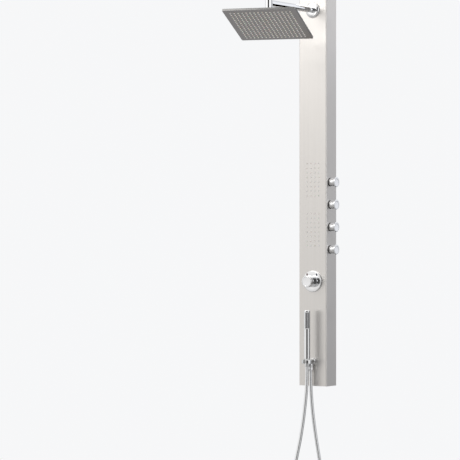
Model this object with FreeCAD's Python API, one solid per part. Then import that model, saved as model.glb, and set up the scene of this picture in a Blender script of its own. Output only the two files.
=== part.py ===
import FreeCAD, Part
import math
import os

# Shower panel column for a wall, in millimetres. +Z is up and the wall is the plane y = 0.
# +X is to the right of a person who faces the panel, so the front looks along -Y.
# The origin is the centre of the four wall screw holes.

# ---- driving dimensions: casing ----
panel_width = 135.0
panel_depth = 75.0
panel_height = 1640.0
sheet = 1.5
corner_radius = 5.0
return_width = 14.0
cap_flange = 14.0

# ---- wall brackets and the hangers that hook on them ----
wall_hole_inset = 120.0
wall_hole_to_edge = 13.0
wall_hole_radius = 3.25
bracket_side_gap = 7.5
bracket_sheet = 2.5
bracket_above_hole = 14.0
bracket_below_hole = 30.0
hook_gap = 7.0
hook_height = 14.0
hanger_sheet = 2.0
hanger_tongue = 17.5
hanger_flange = 6.0

# ---- heights above the panel's lower edge, and the arm's below its top ----
arm_below_top = 84.0
upper_jets_height = 854.0
lower_jets_height = 647.0
mixer_height = 433.0
supply_height = 300.0
outlet_height = 102.5
top_valve_height = 843.5
valve_pitch = 92.7
valve_count = 4

# ---- water pipes ----
pipe_radius = 6.0
pipe_bore = 4.5
pipe_bend = 14.0
pipe_straight = 12.0
pipe_lane_change = 40.0
lane_gap = 4.0
socket_depth = 6.0
thread_radius = 10.45
thread_bore = 7.0
lock_nut_wall = 3.0
lock_nut_length = 8.0
spigot_length = 29.0

# ---- clearances ----
slip = 0.1
running = 0.05
soft_gap = 0.3

# ---- rain head, its arm and ball joint ----
arm_radius = 12.5
arm_bore = 9.0
arm_reach = 331.0
arm_flange_radius = 32.5
arm_flange_depth = 9.0
arm_flange_edge = 3.0
arm_flange_step = 5.0
arm_flange_collar = 4.0
arm_step = 4.0
arm_gasket_thickness = 1.5
arm_gasket_inset = 3.0
stem_wall = 2.5
stem_above_arm = 3.5
stem_bore = 9.0
stem_socket = 5.5
stem_chamfer = 1.0
stem_side_bore = 8.0
pivot_drop = 50.0
ball_radius = 13.0
ball_flat = 9.0
ball_neck_radius = 6.5
ball_bore = 4.5
collar_bottom = 18.0
collar_height = 5.0
collar_flats = 24.0
stud_thread_length = 10.0
swivel_nut_wall = 5.0
swivel_nut_top = 10.5
swivel_nut_shoulder = 2.0
swivel_nut_edge = 1.5
swivel_nut_gap = 1.0
nut_opening_height = 8.0
nut_mouth_step = 0.5
boss_wall = 2.0
boss_flange_radius = 24.0
boss_flange_height = 4.0
boss_top = 10.0
boss_bore = 6.5
boss_cup = 1.5
seat_bore = 8.5
seat_setback = 1.0
head_side = 300.0
head_thickness = 9.0
head_corner = 5.0
head_sheet = 1.2
head_face_drop = 41.0
nozzle_rows = 16
nozzle_inset = 27.0
nozzle_radius = 3.3
nozzle_bore = 0.6
nozzle_proud = 2.8
nipple_taper = 0.8
head_mat_inset = 21.0
mat_thickness = 1.5
screw_inset = 14.0
screws_per_side = 5
screw_head_radius = 3.2
screw_head_height = 2.2
screw_radius = 1.5
screw_length = 5.4
post_radius = 3.2
head_yaw = 17.5
head_tilt = 18.0

# ---- body jets ----
jet_columns = 4
jet_rows = 8
jet_pitch = 19.0
jet_radius = 2.6
jet_bore = 0.7
jet_proud = 1.6
jet_box_width = 76.0
jet_box_height = 152.0
jet_box_depth = 10.0
jet_box_wall = 2.0
jet_inlet_x = -20.0
jet_block_width = 20.0
jet_block_height = 22.0
jet_inlet_rise = 46.0
jet_way_radius = 3.5

# ---- stop valves on the right side ----
valve_setback = 29.0
manifold_radius = 12.0
manifold_bore = 8.0
manifold_overrun = 30.0
manifold_end_wall = 3.0
boss_outer = 13.0
outlet_boss_radius = 9.0
outlet_boss_end = 16.0
outlet_boss_reach = 22.0
cartridge_radius = 8.0
cartridge_inset = 25.5
cartridge_proud = 11.0
valve_spindle_radius = 3.0
valve_spindle_proud = 22.0
valve_spindle_inside = 18.0
spindle_flat = 2.0
flat_margin = 1.0
knob_seal_radius = 17.5
knob_seal_thickness = 2.0
valve_nut_wall = 1.9
valve_nut_length = 5.0
knob_gap = 0.8
knob_reach = 31.0
knob_neck_radius = 16.2
knob_rim_radius = 20.5
knob_rim_depth = 4.5
knob_rim_edge = 1.0
knob_neck_length = 16.0
knob_hollow_gap = 0.75
knob_hollow_depth = 9.0

# ---- mixer ----
mixer_radius = 26.0
mixer_to_wall = 30.0
mixing_radius = 14.0
mixer_rear_wall = 10.0
mixing_proud = 6.0
ring_nut_wall = 4.9
escutcheon_radius = 44.0
escutcheon_depth = 7.0
escutcheon_edge = 2.5
mark_inset = 8.0
mark_angle = 40.0
mark_width = 6.5
mark_length = 11.0
mark_depth = 1.0
mixer_spindle_radius = 4.0
mixer_spindle_inside = 17.0
mixer_spindle_proud = 26.0
mixer_knob_radius = 24.0
mixer_knob_reach = 49.0
mixer_knob_edge = 1.5
mixer_hollow_radius = 16.5
mixer_hollow_depth = 7.0
mixer_cap_radius = 21.0
mixer_cap_depth = 3.0
mixer_cap_proud = 0.5
screw_pocket_radius = 6.0
knob_screw_radius = 2.0
knob_screw_head = 3.6
knob_web = 4.0
knob_screw_bite = 12.0
knob_screw_room = 2.0
knob_screw_head_height = 3.0
knob_screw_key = 3.0
mixer_port_x = 15.0
mixer_port_setback = 24.0
supply_x = 36.0
mixer_port_length = 8.0

# ---- supply unions ----
union_flats = 28.0
union_length = 16.0
union_bore = 9.3
union_wall = 4.0
union_setback = 2.0
pipe_collar_radius = 8.6
pipe_collar_length = 2.0
check_valve_length = 14.0
check_valve_bore = 2.5

# ---- hose outlet, cradle and hand shower ----
rosette_radius = 13.5
rosette_depth = 4.0
rosette_edge = 1.0
outlet_radius = 12.0
hose_nut_to_rosette = 1.0
port_length = 9.0
cradle_reach = 44.0
cradle_radius = 22.0
cradle_height = 16.0
cradle_edge = 1.5
cradle_slot = 16.5
liner_radius = 15.5
liner_lip = 1.5
liner_lip_radius = 17.5
cone_step = 0.3
cone_bottom_radius = 9.9
cone_top = 15.0
cone_bottom = -21.0
cone_clearance = 0.15
cone_thread_radius = 9.3
cone_thread_length = 9.0
handset_radius = 12.5
handset_length = 197.0
handset_top_radius = 3.0
handset_bore = 7.0
handset_turn = 33.0
spray_cut = 3.3
spray_length = 70.0
spray_side_wall = 0.46
spray_plate_thickness = 2.5
spray_top_margin = 7.0
strip_width = 4.4
strip_spacing = 7.6
strip_proud = 0.4
spray_nozzles_per_strip = 11
spray_nozzle_radius = 0.9
spray_nozzle_proud = 1.0
spray_nozzle_bore = 0.4
spray_ledge = 2.0
strip_end = 3.0
hose_nut_wall = 0.95
hose_nut_length = 26.0
hose_nut_gap = 1.5
hose_nut_tail = 6.0
hose_nut_edge = 1.0

# ---- hose ----
hose_radius = 7.0
hose_bore = 4.0
hose_start_straight = 8.0
hose_end_straight = 12.0

FRONT = -panel_depth
FRONT_INSIDE = FRONT + sheet
SIDE = panel_width / 2
SIDE_INSIDE = SIDE - sheet
BOTTOM = -panel_height / 2
TOP = panel_height / 2
VALVE_Y = FRONT + valve_setback
SPIGOT_Y = FRONT + spigot_length
MANIFOLD_X = outlet_boss_end + outlet_boss_reach
CARTRIDGE_END = SIDE - cartridge_inset
HOOK_BACK = -bracket_sheet - hook_gap
HANGER_FRONT = HOOK_BACK + hanger_sheet - hanger_flange
BRACKET_HALF = SIDE - return_width - bracket_side_gap

TINY = 0.001
OVERSHOOT = 1.0

X = FreeCAD.Vector(1, 0, 0)
Y = FreeCAD.Vector(0, 1, 0)
Z = FreeCAD.Vector(0, 0, 1)


def above(height):
    """The z of a height above the panel's lower edge."""
    return BOTTOM + height


def point(x, y, z):
    return FreeCAD.Vector(x, y, z)


def rod(radius, start, end):
    """A cylinder from one point to another."""
    way = end - start
    return Part.makeCylinder(radius, way.Length, start, way)


def taper(radius_start, radius_end, start, end):
    """A cone from one point to another."""
    way = end - start
    return Part.makeCone(radius_start, radius_end, way.Length, start, way)


def sleeve(outer, inner, start, end):
    """A straight tube between two points."""
    return rod(outer, start, end).cut(rod(inner, start, end))


def block(x0, x1, y0, y1, z0, z1):
    return Part.makeBox(x1 - x0, y1 - y0, z1 - z0, point(x0, y0, z0))


def hexagon(flats, start, end):
    """A hexagonal bar, given across its flats."""
    way = end - start
    corner = flats / math.sqrt(3)
    ring = []
    for i in range(7):
        angle = math.radians(60 * i)
        ring.append(point(corner * math.cos(angle), corner * math.sin(angle), 0))
    bar = Part.Face(Part.makePolygon(ring)).extrude(Z * way.Length)
    bar.Placement = FreeCAD.Placement(start, FreeCAD.Rotation(Z, way))
    return bar


def turned(profile, centre, direction):
    """A lathe piece: (distance, radius) points, spun about a line through centre along direction."""
    outline = [point(radius, 0, distance) for distance, radius in profile]
    face = Part.Face(Part.makePolygon(outline + outline[:1]))
    piece = face.revolve(point(0, 0, 0), Z, 360)
    piece.Placement = FreeCAD.Placement(centre, FreeCAD.Rotation(Z, direction))
    return piece


def joined(*solids):
    """Solids fused to one, without seams between faces that run on."""
    return solids[0].multiFuse(list(solids[1:])).removeSplitter()


def bend_radii(points, radius=None):
    """The arc radius at each inner point: given, or 0.45 of the shorter run over tan(half turn)."""
    radii = []
    for before, corner, after in zip(points, points[1:], points[2:]):
        half_turn = (corner - before).getAngle(after - corner) / 2
        shorter = min((corner - before).Length, (after - corner).Length)
        radii.append(radius or 0.45 * shorter / math.tan(half_turn))
    return radii


def route(points, radius=None):
    """Straight runs joined by tangent arcs, as one wire."""
    edges = []
    start = points[0]
    for corner, after, bend in zip(points[1:], points[2:], bend_radii(points, radius)):
        way_in = (corner - start).normalize()
        way_out = (after - corner).normalize()
        half_turn = way_in.getAngle(way_out) / 2
        back = bend * math.tan(half_turn)
        arc_start = corner - way_in * back
        arc_end = corner + way_out * back
        inward = (way_out - way_in).normalize()
        middle = corner + inward * (bend / math.cos(half_turn) - bend)
        edges.append(Part.LineSegment(start, arc_start).toShape())
        edges.append(Part.Arc(arc_start, middle, arc_end).toShape())
        start = arc_end
    edges.append(Part.LineSegment(start, points[-1]).toShape())
    return Part.Wire(edges)


def swept(points, radius, bend=None):
    """A round bar along a route."""
    path = route(points, bend)
    circle = Part.Wire(Part.makeCircle(radius, points[0], points[1] - points[0]))
    return path.makePipeShell([circle], True, True)


def water_pipe(points):
    return swept(points, pipe_radius, pipe_bend).cut(swept(points, pipe_bore, pipe_bend))


def pipe_socket(mouth, outward):
    """What is cut from a fitting where a pipe slides in."""
    return rod(pipe_radius + slip, mouth - outward * socket_depth, mouth)


def lock_nut(centre_x, z):
    """A nut inside the casing that clamps a threaded spigot from the front."""
    start = point(centre_x, FRONT_INSIDE, z)
    end = start + Y * lock_nut_length
    bore = thread_radius + slip
    return hexagon(2 * (bore + lock_nut_wall), start, end).cut(rod(bore, start, end))


def save(name, *solids):
    """Write one node, which may be a group of separate solids."""
    shapes = [solid for shape in solids for solid in shape.Solids]
    for solid in shapes:
        if not solid.isValid() or solid.Volume <= 0:
            raise ValueError(name + " is not a valid solid")
    shape = shapes[0] if len(shapes) == 1 else Part.makeCompound(shapes)
    shape.exportStep("parts/" + name + ".step")


def jet_places(centre_height):
    """The nozzle centres of one field of body jets, as (x, z)."""
    places = []
    for column in range(jet_columns):
        for row in range(jet_rows):
            x = (column - (jet_columns - 1) / 2) * jet_pitch
            z = above(centre_height) + (row - (jet_rows - 1) / 2) * jet_pitch
            places.append((x, z))
    return places


def valve_heights():
    return [above(top_valve_height - number * valve_pitch) for number in range(valve_count)]


# ---- casing ----
def hollow_profile(z0, z1):
    """The space inside the casing's sheet, with its rounded front corners."""
    inside = block(-SIDE_INSIDE, SIDE_INSIDE, FRONT_INSIDE, -sheet, z0, z1)
    return round_front_corners(inside, corner_radius - sheet)


def round_front_corners(body, radius):
    front = body.BoundBox.YMin
    edges = []
    for edge in body.Edges:
        box = edge.BoundBox
        if box.YMax - front < TINY and box.XLength < TINY and box.ZLength > TINY:
            edges.append(edge)
    return body.makeFillet(radius, edges)


def casing():
    shell = round_front_corners(block(-SIDE, SIDE, FRONT, 0, BOTTOM, TOP), corner_radius)
    back_half = SIDE - return_width
    shell = shell.cut(hollow_profile(BOTTOM, TOP))
    shell = shell.cut(block(-back_half, back_half, -sheet, 0, BOTTOM, TOP))
    holes = []
    for x, z in jet_places(upper_jets_height) + jet_places(lower_jets_height):
        holes.append(rod(jet_radius + soft_gap, point(x, FRONT, z), point(x, FRONT_INSIDE, z)))
    for radius, z in ((thread_radius, ARM_Z), (mixing_radius, MIXER_Z), (thread_radius, OUTLET_Z)):
        mouth = point(0, FRONT, z)
        holes.append(rod(radius + slip, mouth, mouth + Y * sheet))
    for z in valve_heights():
        mouth = point(SIDE_INSIDE, VALVE_Y, z)
        holes.append(rod(cartridge_radius + slip, mouth, mouth + X * sheet))
    return shell.cut(Part.makeCompound(holes))


def end_cap(outer_z, inward):
    """A folded tray that closes one end of the casing, welded in flush."""
    inner_z = outer_z + inward * cap_flange
    plate_z = outer_z + inward * sheet
    tray = hollow_profile(min(outer_z, inner_z), max(outer_z, inner_z))
    half = SIDE_INSIDE - sheet
    lower, upper = sorted((plate_z, inner_z))
    return tray.cut(block(-half, half, FRONT_INSIDE + sheet, -2 * sheet, lower, upper))


# ---- wall brackets and hangers ----
def wall_bracket(z):
    half = BRACKET_HALF
    foot = z - bracket_below_hole
    plate = block(-half, half, -bracket_sheet, 0, foot, z + bracket_above_hole)
    shelf = block(-half, half, HOOK_BACK - bracket_sheet, -bracket_sheet, foot, foot + bracket_sheet)
    lip = block(-half, half, HOOK_BACK - bracket_sheet, HOOK_BACK, foot, foot + hook_height)
    bracket = joined(plate, shelf, lip)
    for side in (-1, 1):
        hole = point(side * (half - wall_hole_to_edge), -bracket_sheet, z)
        bracket = bracket.cut(rod(wall_hole_radius, hole, hole + Y * bracket_sheet))
    return bracket


def hanger(z):
    """The angle inside the casing whose tongue drops into the bracket's hook."""
    seat = z - bracket_below_hole + bracket_sheet
    crest = seat + hanger_tongue
    back = HOOK_BACK + hanger_sheet
    tongue = block(-SIDE_INSIDE, SIDE_INSIDE, HOOK_BACK, back, seat, crest)
    flange = block(-SIDE_INSIDE, SIDE_INSIDE, HANGER_FRONT, back, crest, crest + hanger_sheet)
    return joined(tongue, flange)


# ---- arm of the rain head ----
ARM_Z = TOP - arm_below_top
ARM_FACE = FRONT - arm_gasket_thickness
STEM_Y = FRONT - arm_reach
PIVOT = point(0, STEM_Y, ARM_Z - pivot_drop)
STEM_FOOT = PIVOT.z + collar_bottom + collar_height
STEM_RADIUS = arm_radius + stem_wall
BOSS_RADIUS = ball_radius + boss_wall
SWIVEL_NUT_RADIUS = ball_radius + swivel_nut_wall
NUT_MOUTH_RADIUS = ball_radius - nut_mouth_step


def arm_tube():
    wall_end = point(0, SPIGOT_Y, ARM_Z)
    shoulder = point(0, ARM_FACE, ARM_Z)
    far_end = point(0, STEM_Y + STEM_RADIUS - stem_socket, ARM_Z)
    tube = joined(rod(thread_radius, shoulder, wall_end), rod(arm_radius, far_end, shoulder))
    step = shoulder - Y * arm_step
    tube = tube.cut(rod(thread_bore, shoulder, wall_end))
    tube = tube.cut(rod(arm_bore, far_end, step))
    tube = tube.cut(taper(arm_bore, thread_bore, step, shoulder))
    return tube.cut(pipe_socket(wall_end, Y))


def arm_flange():
    bore = arm_radius + slip
    profile = [(0, bore), (0, arm_flange_radius), (arm_flange_edge, arm_flange_radius),
               (2 * arm_flange_edge, arm_flange_radius - arm_flange_step),
               (arm_flange_depth, arm_radius + arm_flange_collar),
               (arm_flange_depth, bore)]
    return turned(profile, point(0, ARM_FACE, ARM_Z), -Y)


def arm_gasket():
    face = point(0, FRONT, ARM_Z)
    outer = arm_flange_radius - arm_gasket_inset
    return sleeve(outer, thread_radius + slip, face - Y * arm_gasket_thickness, face)


def arm_stem():
    """The upright elbow at the end of the arm, drilled down its middle for the ball stud."""
    foot = point(0, STEM_Y, STEM_FOOT)
    crown = point(0, STEM_Y, ARM_Z + arm_radius + stem_above_arm)
    stem = rod(STEM_RADIUS, foot, crown)
    top_edges = [edge for edge in stem.Edges if edge.BoundBox.ZMin > crown.z - TINY]
    stem = stem.makeChamfer(stem_chamfer, top_edges)
    side = point(0, STEM_Y + STEM_RADIUS - stem_socket, ARM_Z)
    stem = stem.cut(rod(arm_radius + slip, side, side + Y * STEM_RADIUS))
    stem = stem.cut(rod(stem_side_bore, point(0, STEM_Y, ARM_Z), side))
    stem = stem.cut(rod(stem_bore, foot, point(0, STEM_Y, ARM_Z)))
    return stem.cut(rod(thread_radius + running, foot, foot + Z * (stud_thread_length + slip)))


# ---- ball joint and rain head, drawn level about the ball's centre ----
def ball_stud():
    collar = point(0, 0, collar_bottom)
    collar_top = collar + Z * collar_height
    ball = Part.makeSphere(ball_radius)
    ball = ball.cut(block(-ball_radius, ball_radius, -ball_radius, ball_radius, -ball_radius, -ball_flat))
    neck = rod(ball_neck_radius, point(0, 0, 0), collar)
    hexagon_collar = hexagon(collar_flats, collar, collar_top - Z * slip)
    thread = rod(thread_radius, collar, collar_top + Z * stud_thread_length)
    stud = joined(ball, neck, hexagon_collar, thread)
    bore_end = collar_top + Z * stud_thread_length
    return stud.cut(rod(ball_bore, point(0, 0, -ball_radius), bore_end))


BACK_Z = head_thickness - head_face_drop
FACE_Z = -head_face_drop


def head_boss():
    """The threaded post on the head's back that carries the ball's seat."""
    back = point(0, 0, BACK_Z)
    crest = point(0, 0, -boss_top)
    boss = joined(rod(boss_flange_radius, back, back + Z * boss_flange_height), rod(BOSS_RADIUS, back, crest))
    boss = boss.cut(rod(boss_bore, back, crest))
    return boss.cut(Part.makeSphere(ball_radius + boss_cup))


def ball_seat():
    """The plastic ring that the ball turns in, between the post and the swivel nut."""
    ring = sleeve(BOSS_RADIUS - slip, seat_bore, point(0, 0, -boss_top), point(0, 0, -seat_setback))
    return ring.cut(Part.makeSphere(ball_radius + running))


def swivel_nut():
    back = BACK_Z + boss_flange_height + swivel_nut_gap
    edge = swivel_nut_edge
    outer = turned([(back, 0), (back, SWIVEL_NUT_RADIUS - edge), (back + edge, SWIVEL_NUT_RADIUS),
                    (swivel_nut_shoulder, SWIVEL_NUT_RADIUS), (swivel_nut_top, NUT_MOUTH_RADIUS + edge),
                    (swivel_nut_top, 0)], point(0, 0, 0), Z)
    inner_ball = Part.makeSphere(ball_radius + running)
    opening = math.sqrt(ball_radius ** 2 - nut_opening_height ** 2)
    mouth = taper(opening, NUT_MOUTH_RADIUS, point(0, 0, nut_opening_height), point(0, 0, swivel_nut_top))
    thread = rod(BOSS_RADIUS + slip, point(0, 0, back), point(0, 0, -seat_setback))
    return outer.cut(thread).cut(inner_ball).cut(mouth)


def rounded_square(side, radius, z):
    """The outline of a square with round corners."""
    corner = side / 2 - radius
    edges = []
    for quarter in range(4):
        turn = FreeCAD.Rotation(Z, 90 * quarter)
        start = turn.multVec(point(side / 2, -corner, z))
        end = turn.multVec(point(side / 2, corner, z))
        edges.append(Part.LineSegment(start, end).toShape())
        bulge = corner + radius / math.sqrt(2)
        middle = turn.multVec(point(bulge, bulge, z))
        following = turn.multVec(point(corner, side / 2, z))
        edges.append(Part.Arc(end, middle, following).toShape())
    return Part.Wire(edges)


def rectangle(x0, x1, y0, y1, z):
    return Part.makePolygon([point(x0, y0, z), point(x1, y0, z), point(x1, y1, z), point(x0, y1, z),
                             point(x0, y0, z)])


def drilled(outline, thickness, places=(), radius=0.0):
    """A plate from its outline, with round holes at the places given."""
    z = outline.BoundBox.ZMin
    wires = [outline]
    for x, y in places:
        wires.append(Part.Wire(Part.makeCircle(radius, point(x, y, z), Z)))
    return Part.makeFace(wires, "Part::FaceMakerBullseye").extrude(Z * thickness)


def nozzle_mat(outline, places, radius, bore, face, proud):
    """A silicone sheet with a drilled nipple through each hole of the face in front of it."""
    sheet_front = outline.BoundBox.ZMin
    nipples = []
    for x, y in places:
        root = point(x, y, sheet_front)
        tip = point(x, y, face - proud)
        nipples.append(taper(radius, radius * nipple_taper, root, tip).cut(rod(bore, root, tip)))
    return drilled(outline, mat_thickness, places, bore).multiFuse(nipples)


def evenly_spread(reach, count):
    """Places in equal steps from -reach to reach."""
    return [reach * (2 * i / (count - 1) - 1) for i in range(count)]


def nozzle_places():
    steps = evenly_spread(head_side / 2 - nozzle_inset, nozzle_rows)
    return [(x, y) for x in steps for y in steps]


def head_screw_places():
    reach = head_side / 2 - screw_inset
    steps = evenly_spread(reach, screws_per_side)
    return [(x, y) for x in steps for y in steps if max(abs(x), abs(y)) > reach - TINY]


def head_tray():
    """The back pan of the head with its rim turned down round the face."""
    depth = head_thickness - head_sheet
    roof = drilled(rounded_square(head_side, head_corner, BACK_Z - head_sheet), head_sheet,
                   head_screw_places(), screw_radius + slip)
    rim = drilled(rounded_square(head_side, head_corner, FACE_Z), depth)
    hollow = drilled(rounded_square(head_side - 2 * head_sheet, head_corner - head_sheet, FACE_Z), depth)
    water_way = rod(boss_bore, point(0, 0, BACK_Z - head_sheet), point(0, 0, BACK_Z))
    return joined(roof.cut(water_way), rim.cut(hollow))


def head_face():
    """The drilled face with the posts that its screws bite into."""
    side = head_side - 2 * head_sheet - 2 * slip
    outline = rounded_square(side, head_corner - head_sheet, FACE_Z)
    plate = drilled(outline, head_sheet, nozzle_places(), nozzle_radius + soft_gap)
    posts = []
    for x, y in head_screw_places():
        foot = point(x, y, FACE_Z + head_sheet)
        tip = point(x, y, BACK_Z - head_sheet)
        posts.append(sleeve(post_radius, screw_radius + slip, foot, tip))
    return joined(plate, *posts)


def head_nozzle_mat():
    outline = rounded_square(head_side - 2 * head_mat_inset, head_corner, FACE_Z + head_sheet)
    return nozzle_mat(outline, nozzle_places(), nozzle_radius, nozzle_bore, FACE_Z, nozzle_proud)


def head_screw(x, y):
    seat = point(x, y, BACK_Z)
    head = rod(screw_head_radius, seat, seat + Z * screw_head_height)
    crown_edges = [edge for edge in head.Edges if edge.BoundBox.ZMin > seat.z + TINY]
    head = head.makeFillet(screw_head_height / 2, crown_edges)
    return joined(head, rod(screw_radius, seat - Z * screw_length, seat))


def hung(shape, tilt):
    """Level pieces moved to the ball's centre, turned and tilted as the head hangs."""
    turn = FreeCAD.Rotation(Z, head_yaw).multiply(FreeCAD.Rotation(X, -tilt))
    placed = shape.copy()
    placed.Placement = FreeCAD.Placement(PIVOT, turn).multiply(placed.Placement)
    return placed


# ---- body jets ----
def jet_mat(centre_height):
    """Drawn with its nozzles down and x across, then stood up behind the front sheet."""
    half_width = jet_box_width / 2
    half_height = jet_box_height / 2
    middle = -above(centre_height)
    outline = rectangle(-half_width, half_width, middle - half_height, middle + half_height, FRONT_INSIDE)
    places = [(x, -z) for x, z in jet_places(centre_height)]
    mat = nozzle_mat(outline, places, jet_radius, jet_bore, FRONT, jet_proud)
    mat.rotate(point(0, 0, 0), X, -90)
    return mat


def jet_inlet(centre_height):
    """The mouth of the pipe socket under a jet box's inlet block."""
    return point(jet_inlet_x, VALVE_Y, above(centre_height) + jet_inlet_rise - jet_block_height / 2)


def jet_box(centre_height):
    """The plastic chamber behind one field of jets, with its inlet block."""
    middle = above(centre_height)
    half_width = jet_box_width / 2
    half_height = jet_box_height / 2
    front = FRONT_INSIDE + mat_thickness
    back = front + jet_box_depth
    outer = block(-half_width, half_width, front, back, middle - half_height, middle + half_height)
    hollow = block(jet_box_wall - half_width, half_width - jet_box_wall, front, back - jet_box_wall,
                   middle - half_height + jet_box_wall, middle + half_height - jet_box_wall)
    mouth = jet_inlet(centre_height)
    half_block = jet_block_width / 2
    inlet = block(mouth.x - half_block, mouth.x + half_block, back, mouth.y + half_block,
                  mouth.z, mouth.z + jet_block_height)
    crossing = mouth + Z * (socket_depth + pipe_bore)
    box = joined(outer.cut(hollow), inlet).cut(pipe_socket(mouth, -Z))
    box = box.cut(rod(pipe_bore, mouth, crossing + Z * pipe_bore))
    return box.cut(rod(jet_way_radius, crossing, point(crossing.x, back - jet_box_wall, crossing.z)))


# ---- stop valves ----
def manifold():
    """The brass bar that feeds the four stop valves, with a boss and an outlet for each."""
    heights = valve_heights()
    foot = point(MANIFOLD_X, VALVE_Y, heights[-1] - manifold_overrun)
    crown = point(MANIFOLD_X, VALVE_Y, heights[0] + manifold_overrun)
    solids = [rod(manifold_radius, foot, crown)]
    cuts = [rod(manifold_bore, foot, crown - Z * manifold_end_wall)]
    for z in heights:
        middle = point(MANIFOLD_X, VALVE_Y, z)
        boss_end = point(SIDE_INSIDE, VALVE_Y, z)
        outlet_end = point(outlet_boss_end, VALVE_Y, z)
        solids.append(rod(boss_outer, middle, boss_end))
        solids.append(rod(outlet_boss_radius, outlet_end, middle))
        cuts.append(rod(cartridge_radius + slip, point(CARTRIDGE_END, VALVE_Y, z), boss_end))
        cuts.append(rod(pipe_bore, outlet_end, point(CARTRIDGE_END, VALVE_Y, z)))
        cuts.append(pipe_socket(outlet_end, -X))
    return joined(*solids).cut(Part.makeCompound(cuts))


def flatted_spindle(radius, start, end, flat_from):
    """A spindle whose outer end has a flat that drives the knob."""
    way = end - start
    shaft = Part.makeCylinder(radius, way.Length)
    flat = spindle_flat * radius / valve_spindle_radius
    offcut = block(-radius, radius, flat, radius, flat_from, way.Length)
    shaft = shaft.cut(offcut)
    shaft.Placement = FreeCAD.Placement(start, FreeCAD.Rotation(Z, way))
    return shaft


def valve_cartridge(z):
    inner = point(CARTRIDGE_END, VALVE_Y, z)
    outer = point(SIDE + cartridge_proud, VALVE_Y, z)
    bore_start = point(SIDE - valve_spindle_inside, VALVE_Y, z)
    body = rod(cartridge_radius, inner, outer)
    return body.cut(rod(valve_spindle_radius + running, bore_start, outer))


def valve_spindle(z, grow=0.0):
    start = point(SIDE - valve_spindle_inside, VALVE_Y, z)
    end = point(SIDE + valve_spindle_proud, VALVE_Y, z)
    flat_from = valve_spindle_inside + cartridge_proud + flat_margin
    return flatted_spindle(valve_spindle_radius + grow, start, end, flat_from)


def knob_seal(z):
    face = point(SIDE, VALVE_Y, z)
    return sleeve(knob_seal_radius, cartridge_radius + slip, face, face + X * knob_seal_thickness)


def valve_nut(z):
    start = point(SIDE + knob_seal_thickness, VALVE_Y, z)
    end = start + X * valve_nut_length
    bore = cartridge_radius + slip
    return hexagon(2 * (bore + valve_nut_wall), start, end).cut(rod(bore, start, end))


def valve_knob(z):
    """A spool-shaped knob: a straight neck that flares to a rim, hollow over the valve's nut."""
    base = knob_seal_thickness + knob_gap
    rim = knob_reach - knob_rim_depth
    neck_end = base + knob_neck_length
    edge = knob_rim_edge
    waist = (knob_neck_radius + knob_rim_radius) / 2
    profile = [(base, 0), (base, knob_neck_radius), (neck_end, knob_neck_radius),
               (rim - 2 * edge, waist - edge), (rim, knob_rim_radius - edge), (rim + edge, knob_rim_radius),
               (knob_reach - edge, knob_rim_radius), (knob_reach, knob_rim_radius - edge), (knob_reach, 0)]
    face = point(SIDE, VALVE_Y, z)
    knob = turned(profile, face, X)
    nut_corner = (cartridge_radius + slip + valve_nut_wall) * 2 / math.sqrt(3)
    hollow = rod(nut_corner + knob_hollow_gap, face + X * base, face + X * (base + knob_hollow_depth))
    return knob.cut(hollow).cut(valve_spindle(z, slip))


# ---- mixer ----
MIXER_Z = above(mixer_height)
MIXER_REAR = -mixer_to_wall
MIXING_END = MIXER_REAR - mixer_rear_wall
MIXER_PORT_Y = FRONT + mixer_port_setback
LOW_LANE = MIXER_REAR + pipe_radius + lane_gap
REAR_LANE = (SPIGOT_Y + HANGER_FRONT) / 2
RING_NUT_RADIUS = mixing_radius + slip + ring_nut_wall


def on_mixer_axis(y):
    return point(0, y, MIXER_Z)


def mixer_body():
    """The brass body behind the front sheet: two supply ports below and one outlet above."""
    front = on_mixer_axis(FRONT_INSIDE)
    body = rod(mixer_radius, front, on_mixer_axis(MIXER_REAR))
    ports = []
    cuts = [rod(mixing_radius + slip, front, on_mixer_axis(MIXING_END))]
    for mouth, outward in mixer_ports():
        start = point(mouth.x, mouth.y, MIXER_Z)
        ports.append(rod(outlet_boss_radius, start, mouth))
        cuts.append(rod(pipe_bore, start, mouth))
        cuts.append(pipe_socket(mouth, outward))
    return joined(body, *ports).cut(Part.makeCompound(cuts))


def mixer_ports():
    """The mouths of the three pipe sockets, each with the way out of it."""
    reach = mixer_radius + mixer_port_length
    outlet = (point(0, MIXER_PORT_Y, MIXER_Z + reach), Z)
    hot = (point(-mixer_port_x, MIXER_PORT_Y, MIXER_Z - reach), -Z)
    cold = (point(mixer_port_x, MIXER_PORT_Y, MIXER_Z - reach), -Z)
    return outlet, hot, cold


def mixing_cartridge():
    inner = on_mixer_axis(MIXING_END)
    outer = on_mixer_axis(FRONT - mixing_proud)
    body = rod(mixing_radius, outer, inner)
    return body.cut(rod(mixer_spindle_radius + running, outer, on_mixer_axis(FRONT + mixer_spindle_inside)))


def cartridge_nut():
    start = on_mixer_axis(FRONT - mixing_proud)
    return sleeve(RING_NUT_RADIUS, mixing_radius + slip, start, on_mixer_axis(FRONT))


def mark_places():
    """The middles of the two temperature marks on the escutcheon's face."""
    radius = escutcheon_radius - mark_inset
    for side in (-1, 1):
        angle = side * mark_angle
        x = radius * math.sin(math.radians(angle))
        z = MIXER_Z + radius * math.cos(math.radians(angle))
        yield point(x, FRONT - escutcheon_depth, z)


def mark(centre, grow=0.0):
    """One upright mark with round ends, let into the escutcheon's face."""
    width = mark_width + 2 * grow
    straight = mark_length - mark_width
    half = straight / 2
    bar = block(-width / 2, width / 2, 0, mark_depth, -half, half)
    top = rod(width / 2, point(0, 0, half), point(0, mark_depth, half))
    low = rod(width / 2, point(0, 0, -half), point(0, mark_depth, -half))
    return joined(bar, top, low).translated(centre)


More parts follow.
